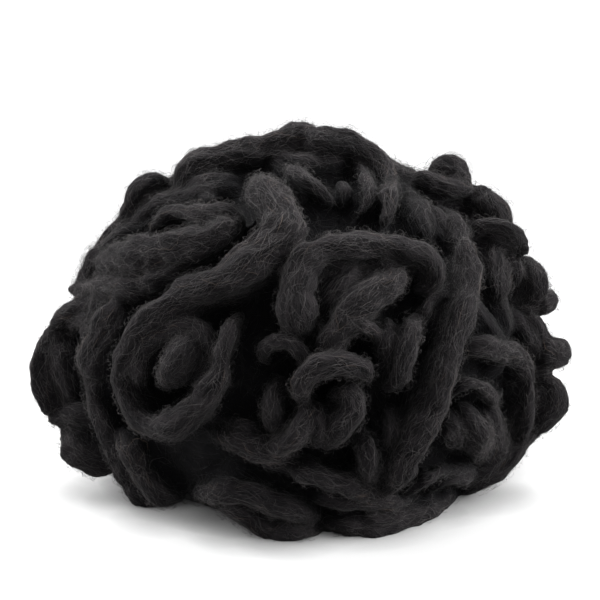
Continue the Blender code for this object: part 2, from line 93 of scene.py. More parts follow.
# HIDDEN_BELOW and LIT_OVER paint shade on the fibres: in the hollows, where openness is low, a fibre is given
# a darker tone.
HIDDEN_BELOW = 0.1             # openness under which a fibre stays dark
LIT_OVER = 0.72                # openness above that at which a fibre has its full tone
TUFT_MIDDLE = 0.74             # tone of a middling tuft of fibres
TUFT_RANGE = 0.95              # how much tufts differ
TUFT_DARKEST = 0.15

# One row for each fold. View is the side it is seen from, lift is in millimetres above the
# mound, widths are spread evenly from start to end, bends are (column, row) on the grid.
Fold = namedtuple("Fold", "name view lift widths bends")

FOLDS = (
    # -- the middle of the front --
    Fold("front_diagonal", "front", 25, (16, 20, 24, 26, 24, 26, 29, 26),
         ((430, 207), (451, 219), (463, 248), (469, 284), (463, 318), (453, 350), (438, 400),
          (416, 440), (398, 476), (388, 494))),
    Fold("arch", "front", 19, (32, 38, 34, 29, 27, 27, 22),
         ((303, 342), (297, 308), (299, 276), (320, 254), (360, 247), (402, 250), (434, 264),
          (432, 284), (412, 290))),
    Fold("under_arch", "front", 10, (28, 28), ((370, 262), (346, 282), (328, 306), (320, 330))),
    Fold("centre_diagonal", "front", 17, (36, 38, 30),
         ((404, 268), (380, 288), (356, 308), (336, 334), (324, 360))),
    Fold("hood", "front", 22, (13, 14, 14),
         ((322, 362), (332, 340), (350, 327), (370, 330), (382, 348))),
    Fold("small_arch", "front", 16, (16, 15),
         ((270, 366), (262, 350), (274, 341), (292, 345), (305, 358), (306, 374))),
    Fold("lip", "front", 25, (22, 26, 24),
         ((300, 408), (303, 384), (318, 367), (340, 363), (360, 370), (370, 386))),
    Fold("right_fold", "front", 19, (26, 25, 20), ((414, 312), (408, 346), (399, 376), (384, 392))),
    Fold("right_fold_in", "front", 15, (26, 20), ((388, 318), (386, 346), (378, 372))),
    Fold("below_right", "front", 9, (18, 14), ((452, 286), (434, 300), (424, 318), (418, 340))),
    Fold("left_lobe", "front", 14, (24, 28), ((284, 376), (272, 396), (274, 418), (290, 432))),
    Fold("right_lobe", "front", 20, (26, 28, 24),
         ((326, 398), (346, 394), (354, 408), (340, 430), (322, 446))),
    Fold("fan_middle", "front", 24, (18, 32), ((316, 402), (318, 422), (320, 446))),
    Fold("fan_left", "front", 22, (18, 26, 24), ((312, 402), (302, 424), (286, 444), (262, 440))),
    Fold("tail_low", "front", 9, (24, 28), ((212, 430), (238, 442), (266, 450), (296, 458))),
    Fold("tail_high", "front", 8, (18, 20), ((218, 418), (244, 426), (272, 430))),
    Fold("low_sweep", "front", 14, (22, 24),
         ((288, 460), (306, 474), (334, 482), (362, 490), (384, 498))),
    Fold("vertical_a", "front", 18, (20, 26), ((362, 424), (365, 446), (369, 470), (366, 486))),
    Fold("vertical_b", "front", 12, (22, 20), ((390, 402), (390, 424), (388, 446), (384, 462))),
    Fold("vertical_c", "front", 8, (14, 14), ((374, 410), (376, 430), (380, 452))),
    # -- along the floor at the front --
    Fold("bottom_roll_high", "front", 10, (24, 30),
         ((192, 494), (224, 490), (256, 496), (290, 508), (318, 516))),
    Fold("bottom_roll_low", "front", 8, (20, 30, 32, 28),
         ((214, 500), (240, 510), (266, 525), (296, 528), (330, 525))),
    Fold("bottom_right", "front", 8, (28, 31, 23),
         ((318, 519), (352, 524), (384, 524), (416, 513), (440, 502), (462, 488))),
    Fold("bottom_middle", "front", 8, (18, 18), ((306, 494), (340, 500), (380, 502), (420, 498))),
    # -- the big spiral on the left --
    Fold("spiral", "front", 20, (46, 43, 46, 38, 33, 29, 21, 17, 22, 36, 30, 17, 14),
         ((256, 180), (272, 205), (282, 228), (266, 250), (240, 270), (208, 286), (176, 300),
          (150, 320), (130, 346), (120, 374), (127, 404), (146, 426), (172, 424), (198, 406),
          (216, 380), (224, 350), (230, 330), (242, 312))),
    Fold("coil", "front", 13, (16, 20, 22, 22, 22, 22, 20),
         ((150, 396), (140, 382), (140, 360), (151, 342), (172, 331), (194, 326), (206, 338),
          (207, 356), (200, 372))),
    Fold("coil_core", "front", 19, (28, 40, 42, 32),
         ((200, 330), (187, 350), (175, 370), (164, 388))),
    Fold("inner_rib", "front", 10, (12, 12), ((141, 338), (131, 358), (131, 378), (139, 394))),
    # -- upper left --
    Fold("loop_low", "front", 19, (38, 36, 40, 34),
         ((96, 268), (128, 258), (162, 253), (198, 244), (226, 232), (238, 218))),
    Fold("loop_high", "front", 22, (12, 18, 34),
         ((148, 242), (156, 226), (176, 213), (204, 214), (230, 218), (238, 232))),
    Fold("below_loop", "front", 6, (26, 24), ((132, 302), (150, 284), (176, 272), (208, 268))),
    Fold("left_band", "front", 8, (30, 28), ((68, 289), (100, 289), (134, 292), (152, 304))),
    Fold("shoulder", "front", 2, (22, 26), ((122, 240), (102, 254), (90, 274), (79, 296))),
    Fold("left_mass", "front", 12, (38, 42), ((126, 300), (112, 326), (100, 354), (94, 386))),
    Fold("left_fall", "front", 16, (20, 20, 25, 32, 38),
         ((94, 368), (97, 400), (109, 432), (124, 462), (141, 490), (168, 504))),
    Fold("left_fall_in", "front", 12, (20, 26, 32, 32),
         ((118, 424), (132, 450), (144, 474), (160, 490), (184, 499))),
    Fold("left_curl", "front", 8, (22, 22), ((122, 312), (94, 302), (66, 314), (52, 334))),
    Fold("left_curl_in", "front", 12, (20, 18), ((112, 330), (92, 318), (76, 324), (72, 342))),
    Fold("edge_outer", "front", 4, (15, 14),
         ((51, 326), (38, 354), (36, 380), (45, 404), (60, 420))),
    Fold("edge_inner", "front", 8, (10, 11),
         ((54, 330), (58, 356), (64, 382), (78, 400), (94, 406))),
    Fold("foot_left_high", "front", 8, (28, 26), ((48, 420), (74, 415), (98, 417), (114, 430))),
    Fold("foot_left_low", "front", 4, (32, 40, 44, 42),
         ((66, 424), (76, 441), (91, 455), (128, 455))),
    # -- the top --
    Fold("ridge_outer", "front", 12, (31, 32),
         ((184, 208), (184, 181), (200, 165), (230, 156), (262, 150), (290, 140), (322, 131))),
    Fold("ridge_inner", "front", 10, (26, 26),
         ((210, 202), (207, 178), (220, 164), (250, 162), (280, 160))),
    Fold("crown_outer", "front", 20, (24, 30, 25, 21, 20, 20),
         ((294, 138), (322, 140), (352, 146), (375, 160), (388, 182), (389, 206), (383, 228))),
    Fold("crown_middle", "front", 18, (12, 14, 14, 13),
         ((334, 173), (349, 166), (362, 171), (369, 187), (366, 204), (354, 214))),
    Fold("crown_sweep", "front", 10, (16, 18, 14),
         ((308, 158), (328, 154), (348, 156), (362, 162))),
    Fold("crown_ball", "front", 13, (20, 24), ((340, 182), (345, 194), (342, 206))),
    Fold("crown_diagonal", "front", 13, (22, 22), ((276, 170), (298, 178), (318, 192), (332, 206))),
    Fold("behind_crown", "front", -5, (28, 34), ((404, 182), (412, 206), (418, 232), (424, 254))),
    Fold("east_knob", "front", 4, (22, 30, 32), ((432, 186), (440, 168), (456, 171), (469, 188))),
    Fold("east_bar", "front", 12, (16, 22, 23), ((398, 174), (424, 181), (450, 189), (476, 191))),
    Fold("east_low", "front", 5, (16, 18), ((430, 207), (450, 211), (474, 209))),
    Fold("corner_edge", "front", 4, (18, 18),
         ((172, 182), (150, 181), (135, 192), (129, 212), (119, 230))),
    Fold("corner_in", "front", 8, (26, 24), ((166, 196), (150, 196), (144, 212), (150, 230))),
    Fold("corner_low", "front", 8, (18, 18), ((118, 238), (128, 225), (140, 232))),
    # -- the right side --
    Fold("east_shoulder", "front", 4, (26, 27), ((474, 186), (490, 203), (500, 222), (500, 240))),
    Fold("brow", "front", 31, (17, 20),
         ((462, 240), (480, 230), (501, 227), (517, 237), (527, 256))),
    Fold("eye", "front", 26, (34, 40, 40, 34),
         ((482, 236), (487, 252), (492, 272), (496, 290), (499, 304))),
    Fold("eye_rim", "front", 19, (16, 16), ((502, 242), (513, 258), (515, 278), (504, 298))),
    Fold("cheek", "front", 12, (24, 26), ((518, 257), (533, 272), (536, 290), (522, 304))),
    Fold("east_curl", "front", 4, (20, 24, 26), ((518, 303), (536, 305), (550, 301), (552, 288))),
    Fold("east_slope_out", "front", 6, (18, 20), ((508, 304), (526, 316), (540, 333), (548, 356))),
    Fold("east_slope_in", "front", 10, (22, 24), ((494, 306), (514, 320), (530, 340), (538, 360))),
    Fold("hook", "front", 18, (26, 24, 14, 14),
         ((458, 352), (482, 348), (506, 352), (522, 366), (529, 392), (526, 420), (522, 448))),
    Fold("small_hook", "front", 16, (16, 15),
         ((446, 404), (452, 390), (468, 382), (484, 389), (495, 400), (503, 388))),
    Fold("lower_lobe", "front", 14, (30, 32), ((456, 402), (470, 420), (478, 440), (474, 458))),
    Fold("lower_lobe_in", "front", 12, (26, 28), ((444, 408), (452, 428), (464, 446))),
    Fold("lower_lobe_out", "front", 8, (24, 24), ((486, 408), (496, 430), (494, 454))),
    Fold("lower_rib", "front", 14, (12, 14),
         ((508, 416), (507, 440), (498, 460), (478, 474), (452, 482))),
    Fold("east_lobe_high", "front", 0, (30, 36, 38), ((520, 352), (546, 353), (570, 354))),
    Fold("east_lobe_low", "front", 2, (26, 26),
         ((526, 380), (552, 387), (557, 406), (542, 420), (526, 432))),
    Fold("south_east", "front", 8, (16, 18),
         ((536, 426), (516, 455), (498, 474), (476, 484), (448, 494))),
    Fold("south_east_in", "front", 6, (20, 22), ((500, 458), (476, 470), (450, 476), (424, 490))),
    Fold("south_small", "front", 12, (16, 16), ((398, 494), (420, 484), (438, 472), (452, 462))),
    # -- broad folds that lie deeper and close the gaps at the front --
    Fold("under_left", "front", -8, (38, 42), ((120, 296), (108, 340), (102, 384), (110, 424))),
    Fold("under_left_foot", "front", -9, (34, 38), ((88, 408), (106, 432), (124, 456), (140, 474))),
    Fold("under_left_top", "front", -9, (36, 44),
         ((120, 250), (146, 226), (176, 206), (212, 192), (246, 186))),
    Fold("under_loop", "front", -7, (40, 34), ((112, 282), (150, 268), (196, 262), (232, 250))),
    Fold("under_lobes", "front", -7, (44, 50), ((462, 396), (480, 420), (488, 446), (462, 470))),
    Fold("under_saddle", "front", -13, (36, 40), ((396, 184), (414, 214), (440, 240), (452, 276))),
    Fold("under_tail", "front", -8, (26, 30), ((204, 424), (244, 440), (282, 456), (312, 476))),
    # -- the back, laid out in the same way and plainer --
    Fold("back_floor_a", "back", 4, (28, 30),
         ((96, 462), (150, 492), (220, 516), (300, 522), (380, 518))),
    Fold("back_floor_b", "back", 4, (28, 26),
         ((350, 514), (420, 502), (476, 480), (512, 448), (536, 404))),
    Fold("back_edge_left", "back", 4, (26, 26),
         ((76, 436), (66, 398), (68, 352), (84, 304), (112, 268))),
    Fold("back_snake", "back", 15, (28, 34, 32),
         ((122, 300), (110, 350), (125, 400), (165, 425), (205, 400), (215, 350), (205, 300),
          (225, 262), (270, 250))),
    Fold("back_middle", "back", 16, (28, 32),
         ((300, 270), (330, 300), (335, 350), (310, 390), (270, 405), (245, 440))),
    Fold("back_middle_in", "back", 8, (26, 28), ((262, 300), (258, 336), (272, 362))),
    Fold("back_right", "back", 15, (28, 34, 30),
         ((380, 260), (420, 280), (440, 320), (430, 370), (395, 400), (370, 440), (390, 480))),
    Fold("back_right_low", "back", 12, (28, 28),
         ((482, 300), (500, 350), (490, 400), (456, 430), (434, 462))),
    Fold("back_shoulder", "back", 8, (26, 28),
         ((402, 212), (436, 236), (468, 266), (492, 300), (504, 340))),
    Fold("back_brow", "back", 11, (26, 30),
         ((158, 262), (190, 248), (228, 240), (268, 236), (300, 228))),
    Fold("back_crown", "back", 8, (26, 26),
         ((218, 200), (248, 178), (286, 166), (324, 172), (344, 198), (326, 226))),
    Fold("back_crown_right", "back", 8, (24, 26), ((352, 240), (384, 225), (398, 196), (386, 172))),
    Fold("back_left_in", "back", 8, (28, 26), ((158, 326), (160, 362), (172, 384))),
    Fold("back_low", "back", 12, (28, 28),
         ((130, 448), (180, 464), (230, 470), (290, 475), (340, 468))),
    Fold("back_right_in", "back", 8, (26, 26), ((372, 306), (382, 346), (362, 380))),
    Fold("back_low_right", "back", 9, (26, 24), ((496, 438), (460, 466), (410, 486), (350, 496))),
    Fold("back_centre_low", "back", 6, (24, 28), ((306, 400), (316, 430), (344, 450))),
    Fold("back_left_high", "back", 8, (26, 26), ((112, 290), (146, 278), (182, 274))),
    Fold("back_right_high", "back", 8, (26, 24), ((440, 272), (466, 306), (464, 346), (458, 392))),
    Fold("back_top_left", "back", 6, (24, 26), ((176, 246), (190, 234), (212, 226), (240, 222))),
    Fold("back_fill_a", "back", 4, (28, 30), ((238, 290), (228, 330), (236, 372), (224, 408))),
    Fold("back_fill_b", "back", 3, (30, 32),
         ((354, 262), (364, 300), (352, 344), (362, 392), (350, 430))),
    Fold("back_fill_c", "back", 5, (22, 24),
         ((140, 336), (150, 372), (176, 374), (184, 340), (176, 306))),
    Fold("back_fill_d", "back", 5, (26, 28), ((404, 300), (412, 340), (396, 374))),
    Fold("back_fill_e", "back", 3, (28, 30), ((190, 436), (238, 450), (290, 446), (334, 436))),
    Fold("back_fill_f", "back", 4, (28, 30), ((286, 298), (300, 342), (284, 380))),
    Fold("back_fill_g", "back", 2, (26, 28), ((92, 376), (100, 416), (132, 440))),
    Fold("back_fill_h", "back", 4, (26, 28), ((424, 246), (384, 236), (344, 244), (320, 262))),
    Fold("back_fill_i", "back", 3, (26, 28), ((420, 430), (444, 400), (452, 366))),
    # -- the two flanks, behind what the front shows --
    Fold("right_flank_a", "right", 2, (26, 30),
         ((352, 236), (338, 270), (340, 320), (358, 368), (352, 410))),
    Fold("right_flank_b", "right", 4, (28, 28),
         ((392, 262), (398, 310), (384, 352), (396, 400), (376, 444))),
    Fold("right_flank_c", "right", 0, (34, 34), ((330, 400), (342, 440), (372, 476))),
    Fold("right_floor", "right", 0, (24, 26), ((272, 504), (310, 515), (356, 514), (404, 496))),
    Fold("right_fore_a", "right", -10, (28, 32),
         ((266, 246), (252, 290), (264, 332), (250, 374), (262, 416))),
    Fold("right_fore_b", "right", -10, (28, 30), ((222, 296), (212, 340), (224, 382), (212, 428))),
    Fold("right_fore_c", "right", -3, (26, 28),
         ((300, 262), (306, 306), (296, 350), (306, 396), (298, 440))),
    Fold("left_flank_a", "left", 2, (22, 28),
         ((252, 268), (262, 306), (256, 350), (238, 392), (250, 430))),
    Fold("left_flank_b", "left", 4, (28, 28),
         ((206, 268), (200, 316), (214, 356), (202, 404), (222, 448))),
    Fold("left_flank_c", "left", 0, (34, 34), ((270, 404), (258, 442), (228, 476))),
    Fold("left_floor", "left", 0, (26, 24), ((198, 496), (250, 514), (296, 515), (330, 504))),
    Fold("left_fore_a", "left", -8, (28, 32),
         ((336, 250), (350, 292), (338, 334), (352, 376), (340, 416))),
    Fold("left_fore_b", "left", -9, (28, 30), ((380, 300), (390, 342), (378, 384), (388, 428))),
    Fold("left_fore_c", "left", -3, (26, 28),
         ((300, 270), (294, 312), (304, 354), (294, 398), (302, 440))),
    # -- the top, seen from above --
    Fold("top_a", "above", 0, (26, 28),
         ((200, 470), (230, 440), (276, 426), (320, 436), (350, 460))),
    Fold("top_b", "above", 0, (28, 26),
         ((390, 470), (360, 426), (310, 396), (254, 394), (204, 420))),
    Fold("top_d", "above", 1, (26, 28),
         ((176, 446), (196, 404), (236, 374), (286, 364), (330, 372))),
    Fold("top_e", "above", 1, (26, 26), ((424, 446), (410, 402), (376, 370), (340, 352))),
    Fold("top_c", "above", 0, (26, 26), ((250, 470), (290, 456), (320, 470), (300, 492))),
)


# ---- looking and laying, the same sums as in the solid ----------------------------------

def side_turn(view):
    """How far a view is turned about the upright, in radians."""
    turns = {"front": 0.0, "right": 90.0, "back": 180.0, "left": 270.0, "above": 0.0}
    return math.radians(turns[view])


def looking(view, sizes):
    """The eye and the picture's two directions, before the view is turned."""
    rise = math.radians(90.0) if view == "above" else sizes.eye_rise
    across = Vector((1.0, 0.0, 0.0))
    up = Vector((0.0, math.sin(rise), math.cos(rise)))
    ahead = Vector((0.0, math.cos(rise), -math.sin(rise)))
    eye = up * (GRID_FLOOR - GRID_MIDDLE) * sizes.grid_unit - ahead * sizes.eye_distance
    return eye, across, up


def smooth_curve(points, step):
    """A smooth line through flat points, as points about one step apart."""
    ends = [points[0] * 2 - points[1], *points, points[-1] * 2 - points[-2]]
    line = []
    for before, start, stop, after in zip(ends, ends[1:], ends[2:], ends[3:]):
        count = max(2, round((stop - start).length / step))
        for station in range(count):
            t = station / count
            line.append(0.5 * (2 * start + (stop - before) * t
                               + (2 * before - 5 * start + 4 * stop - after) * t * t
                               + (3 * start - before - 3 * stop + after) * t * t * t))
    line.append(points[-1])
    return line


def spread(values, share):
    """The value at a share of the way along a short list."""
    place = share * (len(values) - 1)
    first = min(int(place), len(values) - 2)
    part = place - first
    return values[first] * (1.0 - part) + values[first + 1] * part


def ease(share):
    """A soft step from nought to one."""
    share = min(max(share, 0.0), 1.0)
    return share * share * (3.0 - 2.0 * share)


def end_rounding(reach):
    """Share of its radius that a fold has this many radii from its end, so that it is round."""
    return max(math.sqrt(1.0 - (1.0 - min(reach, 1.0)) ** 2), 0.25)


def first_meeting(eye, ray, half, middle_place, radius, lift):
    """How far along a line of sight the raised mound or the resting height is met."""
    start = Vector(((eye - middle_place)[i] / half[i] for i in range(3)))
    ray_in = Vector((ray[i] / half[i] for i in range(3)))
    square = ray_in.dot(ray_in)
    middle = -start.dot(ray_in) / square
    inside = (start.dot(ray_in) ** 2 - square * (start.dot(start) - 1.0)) / square ** 2
    distance = middle - math.sqrt(max(inside, 0.0)) - lift
    if ray.z < 0.0:
        distance = min(distance, (radius * FLOOR_SHARE - eye.z) / ray.z)
    return distance


def evened(values, rounds):
    """The same values with sharp changes between neighbours worn down."""
    for _ in range(rounds):
        inner = [(a + 2.0 * b + c) / 4.0 for a, b, c in zip(values, values[1:], values[2:])]
        values = [values[0], *inner, values[-1]]
    return values


def fold_stations(fold, sizes):
    """Places and radii along one fold, in metres, where the solid stands."""
    eye, across, up = looking(fold.view, sizes)
    half = Vector(sizes.mound_half)
    if fold.view in ("left", "right"):
        half = Vector((half.y, half.x, half.z))
    middle = Vector((0.0, 0.0, sizes.mound_height))
    flat = [Vector((column - GRID_MIDDLE, GRID_FLOOR - row)) * sizes.grid_unit for column, row in fold.bends]
    line = smooth_curve(flat, STEP)
    length = sum((b - a).length for a, b in zip(line, line[1:]))
    last = len(line) - 1
    radii = []
    rays = []
    dips = []
    for number, spot in enumerate(line):
        share = number / last
        end_gap = min(share, 1.0 - share) * length
        near_end = 1.0 - ease(end_gap / TUCK_LENGTH)
        radius = 0.5 * spread(fold.widths, share) * sizes.grid_unit * sizes.plumpness
        radii.append(radius * (1.0 - END_TAPER * near_end) * end_rounding(end_gap / radius))
        rays.append((across * spot.x + up * spot.y - eye).normalized())
        dips.append(sizes.tuck_depth * near_end)
    lift = fold.lift * MM + sizes.strand_rise
    meets = [first_meeting(eye, ray, half, middle, radius, lift) for ray, radius in zip(rays, radii)]
    meets = evened(meets, DEPTH_SMOOTHING)
    turn = Matrix.Rotation(side_turn(fold.view), 3, "Z")
    places = [turn @ (eye + ray * (meet + dip)) - HEAP_SHIFT for ray, meet, dip in zip(rays, meets, dips)]
    return places, [radius * meet / sizes.eye_distance for radius, meet in zip(radii, meets)]


def unit(rows):
    """Rows scaled to length one."""
    return rows / np.maximum(np.linalg.norm(rows, axis=-1, keepdims=True), 1e-9)


def fold_shape(fold, number, sizes):
    """A fold as arrays: distance along it, places, radii, along, outward and sideways.

    A real strand is never even, so each fold wanders and swells a little in its own way.
    """
    places, radii = fold_stations(fold, sizes)
    spots = np.array([tuple(place) for place in places])
    run = np.concatenate(([0.0], np.cumsum(np.linalg.norm(np.diff(spots, axis=0), axis=1))))
    along = unit(np.gradient(spots, axis=0))
    middle = np.array([0.0, 0.0, sizes.mound_height]) - np.array(HEAP_SHIFT)
    outward = spots - middle
    outward = unit(outward - along * np.sum(outward * along, axis=1, keepdims=True))
    aside = np.cross(along, outward)
    turn = run / sizes.wander_length * 2.0 * math.pi + 2.4 * number
    sway = 0.6 * np.sin(turn) + 0.4 * np.sin(2.3 * turn + number)
    spots = spots + aside * (sizes.wander * sway)[:, None]
    swell = 1.0 + sizes.swelling * (0.6 * np.sin(1.31 * turn + 1.0) + 0.4 * np.sin(3.1 * turn + 0.5 * number))
    return run, spots, np.array(radii) * swell, along, outward, aside


# ---- small helpers for Blender ----------------------------------------------------------

def pick(*things):
    """Select only these objects and make the first one active."""
    bpy.ops.object.select_all(action="DESELECT")
    for thing in things:
        thing.select_set(True)
    bpy.context.view_layer.objects.active = things[0]


def apply_modifier(thing, name, kind, **settings):
    """Add one modifier, set it and apply it."""
    modifier = thing.modifiers.new(name, kind)
    for key, value in settings.items():
        setattr(modifier, key, value)
    pick(thing)
    bpy.ops.object.modifier_apply(modifier=modifier.name)


def clouds(name, size):
    """A cloudy texture whose clouds are about this big."""
    texture = bpy.data.textures.new(name, "CLOUDS")
    texture.noise_scale = size
    texture.noise_depth = 1
    return texture


def mesh_array(items, key, kind, width):
    """One property of many mesh items as rows."""
    values = np.empty(len(items) * width, dtype=kind)
    items.foreach_get(key, values)
    return values.reshape(-1, width)


def finish_piece(piece, material):
    """Give a piece its finish, smooth it and tie it to the heap."""
    piece.data.materials.clear()
    piece.data.materials.append(material)
    pick(piece)
    bpy.ops.object.shade_smooth()
    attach(piece, "root")


def linear(code):
    """An sRGB hex colour as linear values with full cover."""
    parts = [int(code.lstrip("#")[i:i + 2], 16) / 255.0 for i in (0, 2, 4)]
    return (*(p / 12.92 if p <= 0.04045 else ((p + 0.055) / 1.055) ** 2.4 for p in parts), 1.0)


def add_node(tree, kind, at, settings=None, values=None, links=None):
    """Add one node with its settings, socket values and incoming links."""
    node = tree.nodes.new(kind)
    node.location = at
    for key, value in (settings or {}).items():
        setattr(node, key, value)
    for key, value in (values or {}).items():
        node.inputs[key].default_value = value
    for key, socket in (links or {}).items():
        tree.links.new(socket, node.inputs[key])
    return node


def new_tree(name):
    """A new material with an empty tree."""
    material = bpy.data.materials.new(name)
    material.use_nodes = True
    tree = material.node_tree
    tree.nodes.clear()
    return material, tree


# ---- finishes ---------------------------------------------------------------------------

def drawn_noise(tree, place, at, width, length, slant, detail):
    """Noise drawn out along the strand: streaks this wide and this long, at a slant."""
    turned = add_node(tree, "ShaderNodeMapping", at, values={
        "Rotation": (0.0, 0.0, math.radians(slant))}, links={"Vector": place})
    drawn = add_node(tree, "ShaderNodeMapping", (at[0] + 180, at[1]), values={
        "Scale": (1.0 / width, 1.0 / length, 1.0)}, links={"Vector": turned.outputs["Vector"]})
    streaks = add_node(tree, "ShaderNodeTexNoise", (at[0] + 360, at[1]), values={
        "Scale": 1.0, "Detail": detail, "Roughness": 0.6, "Distortion": 0.3}, links={
        "Vector": drawn.outputs["Vector"]})
    return streaks.outputs["Fac"]


def ridges(tree, streaks, at, reach):
    """Thin lines where a noise crosses its middle level."""
    level = add_node(tree, "ShaderNodeMath", at, {"operation": "SUBTRACT"}, {1: 0.5}, {0: streaks})
    away = add_node(tree, "ShaderNodeMath", (at[0] + 180, at[1]), {"operation": "ABSOLUTE"}, links={
        0: level.outputs["Value"]})
    line = add_node(tree, "ShaderNodeMapRange", (at[0] + 360, at[1]), values={
        "From Min": reach, "From Max": 0.0}, links={"Value": away.outputs["Value"]})
    return line.outputs["Result"]


def blend(tree, at, share, first, second):
    """A mix of two masks."""
    mix = add_node(tree, "ShaderNodeMix", at, {"data_type": "FLOAT"}, {0: share}, {2: first, 3: second})
    return mix.outputs[0]


def carded_wool(colours):
    """Carded black wool: a soft bundle of fine crimped fibres drawn out side by side.

    To the eye it is matt charcoal, streaked along the strand where locks of fibres lie higher
    or lower, finely lined, crossed by frizz, and near black between the locks: the tone follows
    the bump's height, so this is partly the wool's own streaks and partly painted shade. A real
    fibre is 0.03 mm thick, too fine to show, so a line stands for a few of them. Deep between
    the folds the colour is darkened to nearly black by the openness attribute: painted shade.
    """
    material, tree = new_tree("carded black wool")
    place = add_node(tree, "ShaderNodeUVMap", (-2200, 0), {"uv_map": "strand"}).outputs["UV"]
    spot = add_node(tree, "ShaderNodeTexCoord", (-2200, -600)).outputs["Object"]
    locks = drawn_noise(tree, place, (-2000, 800), 4.0 * MM, 34.0 * MM, 4.0, 2.0)
    along = drawn_noise(tree, place, (-2000, 500), 1.6 * MM, 16.0 * MM, -9.0, 1.0)
    lines = ridges(tree, along, (-1400, 500), 0.12)
    across = drawn_noise(tree, place, (-2000, 200), 2.0 * MM, 12.0 * MM, 24.0, 1.0)
    crossing = ridges(tree, across, (-1400, 200), 0.10)
    curls = add_node(tree, "ShaderNodeTexNoise", (-2000, -300), values={
        "Scale": 1.0 / (2.6 * MM), "Detail": 1.0, "Distortion": 1.0}, links={"Vector": spot})
    frizz = ridges(tree, curls.outputs["Fac"], (-1400, -300), 0.08)
    fine = blend(tree, (-800, 400), 0.4, lines, crossing)
    fine = blend(tree, (-600, 200), 0.3, fine, frizz)
    height = blend(tree, (-400, 400), 0.42, locks, fine)
    # The tone follows the same height as the bump, so the lows between locks and fibres are darker: partly
    # the wool's own streaks, partly painted shade.
    tone = add_node(tree, "ShaderNodeValToRGB", (-200, 150), links={"Fac": height})
    tone.color_ramp.elements[0].position = 0.22
    tone.color_ramp.elements[0].color = linear(colours.strand_dark)
    tone.color_ramp.elements[1].position = 0.66
    tone.color_ramp.elements[1].color = linear(colours.strand_light)
    # Painted shade: where the openness attribute is low, deep between the folds, the tone is mixed towards
    # the depth colour.
    free = add_node(tree, "ShaderNodeAttribute", (-400, -250), {"attribute_name": "openness"})
    light = add_node(tree, "ShaderNodeMapRange", (-200, -250), {"interpolation_type": "SMOOTHSTEP"}, {
        "From Min": 0.06, "From Max": 0.86}, {"Value": free.outputs["Fac"]})
    colour = add_node(tree, "ShaderNodeMix", (0, 100), {"data_type": "RGBA"}, {6: linear(colours.depth)}, {
        0: light.outputs["Result"], 7: tone.outputs["Color"]})
    bump = add_node(tree, "ShaderNodeBump", (0, -450), values={"Strength": 0.9, "Distance": 1.6 * MM}, links={
        "Height": height})
    shader = add_node(tree, "ShaderNodeBsdfPrincipled", (200, 0), values={
        "Roughness": 0.95, "Specular IOR Level": 0.05,
        "Sheen Weight": 0.015, "Sheen Roughness": 0.3}, links={
        "Base Color": colour.outputs[2], "Normal": bump.outputs["Normal"]})
    add_node(tree, "ShaderNodeOutputMaterial", (500, 0), links={"Surface": shader.outputs["BSDF"]})
    return material


def wool_fibre(colours):
    """Single wool fibres, crimped and scaly.

    Each shows as a soft dark grey hair, never as a glint, and a few are faded by the sun.
    """
    material, tree = new_tree("black wool fibre")
    # The shade attribute holds each fibre's tone: random, darker or lighter by tuft, and lowered in the
    # hollows as painted shade.
    shade = add_node(tree, "ShaderNodeAttribute", (-900, 0), {"attribute_name": "shade"})
    tone = add_node(tree, "ShaderNodeValToRGB", (-650, 0), links={"Fac": shade.outputs["Fac"]})
    ramp = tone.color_ramp
    ramp.elements[0].color = linear(colours.fibre_dark)
    ramp.elements[1].color = linear(colours.fibre_light)
    ramp.elements[1].position = 0.94
    brown = ramp.elements.new(0.98)
    brown.color = linear(colours.sun_faded)
    shader = add_node(tree, "ShaderNodeBsdfPrincipled", (0, 0), values={
        "Roughness": 0.75, "Specular IOR Level": 0.25}, links={"Base Color": tone.outputs["Color"]})
    add_node(tree, "ShaderNodeOutputMaterial", (300, 0), links={"Surface": shader.outputs["BSDF"]})
    return material


def pale_floor(colours):
    """Seamless pale paper, matt and without a mark.

    It is painted with a glow round the heap that no lamp gives, which fades out right at the
    heap's foot: painted light. So the heap keeps a narrow soft shadow on an almost white ground.
    """
    material, tree = new_tree("pale backing paper")
    spot = add_node(tree, "ShaderNodeTexCoord", (-800, -200)).outputs["Object"]
    reach = add_node(tree, "ShaderNodeVectorMath", (-600, -200), {"operation": "LENGTH"}, links={0: spot})
    # Painted light: the paper glows fully within 0.24 m of the middle and not beyond 0.46 m, less where the
    # heap shuts it in.
    painted_glow = add_node(tree, "ShaderNodeMapRange", (-400, -200), {"interpolation_type": "SMOOTHSTEP"}, {
        "From Min": 0.46, "From Max": 0.24, "To Max": 0.56}, {"Value": reach.outputs["Value"]})
    foot = add_node(tree, "ShaderNodeAmbientOcclusion", (-600, -450), {"samples": 8}, {
        "Distance": 28.0 * MM})
    clear = add_node(tree, "ShaderNodeMath", (-400, -450), {"operation": "POWER"}, {1: 1.9}, {
        0: foot.outputs["AO"]})
    lift = add_node(tree, "ShaderNodeMath", (-200, -300), {"operation": "MULTIPLY"}, links={
        0: painted_glow.outputs["Result"], 1: clear.outputs["Value"]})
    shader = add_node(tree, "ShaderNodeBsdfPrincipled", (0, 0), values={
        "Base Color": linear(colours.paper), "Roughness": 0.9, "Specular IOR Level": 0.1,
        "Emission Color": (1.0, 1.0, 1.0, 1.0)}, links={"Emission Strength": lift.outputs["Value"]})
    add_node(tree, "ShaderNodeOutputMaterial", (300, 0), links={"Surface": shader.outputs["BSDF"]})
    return material


# ---- the strand -------------------------------------------------------------------------

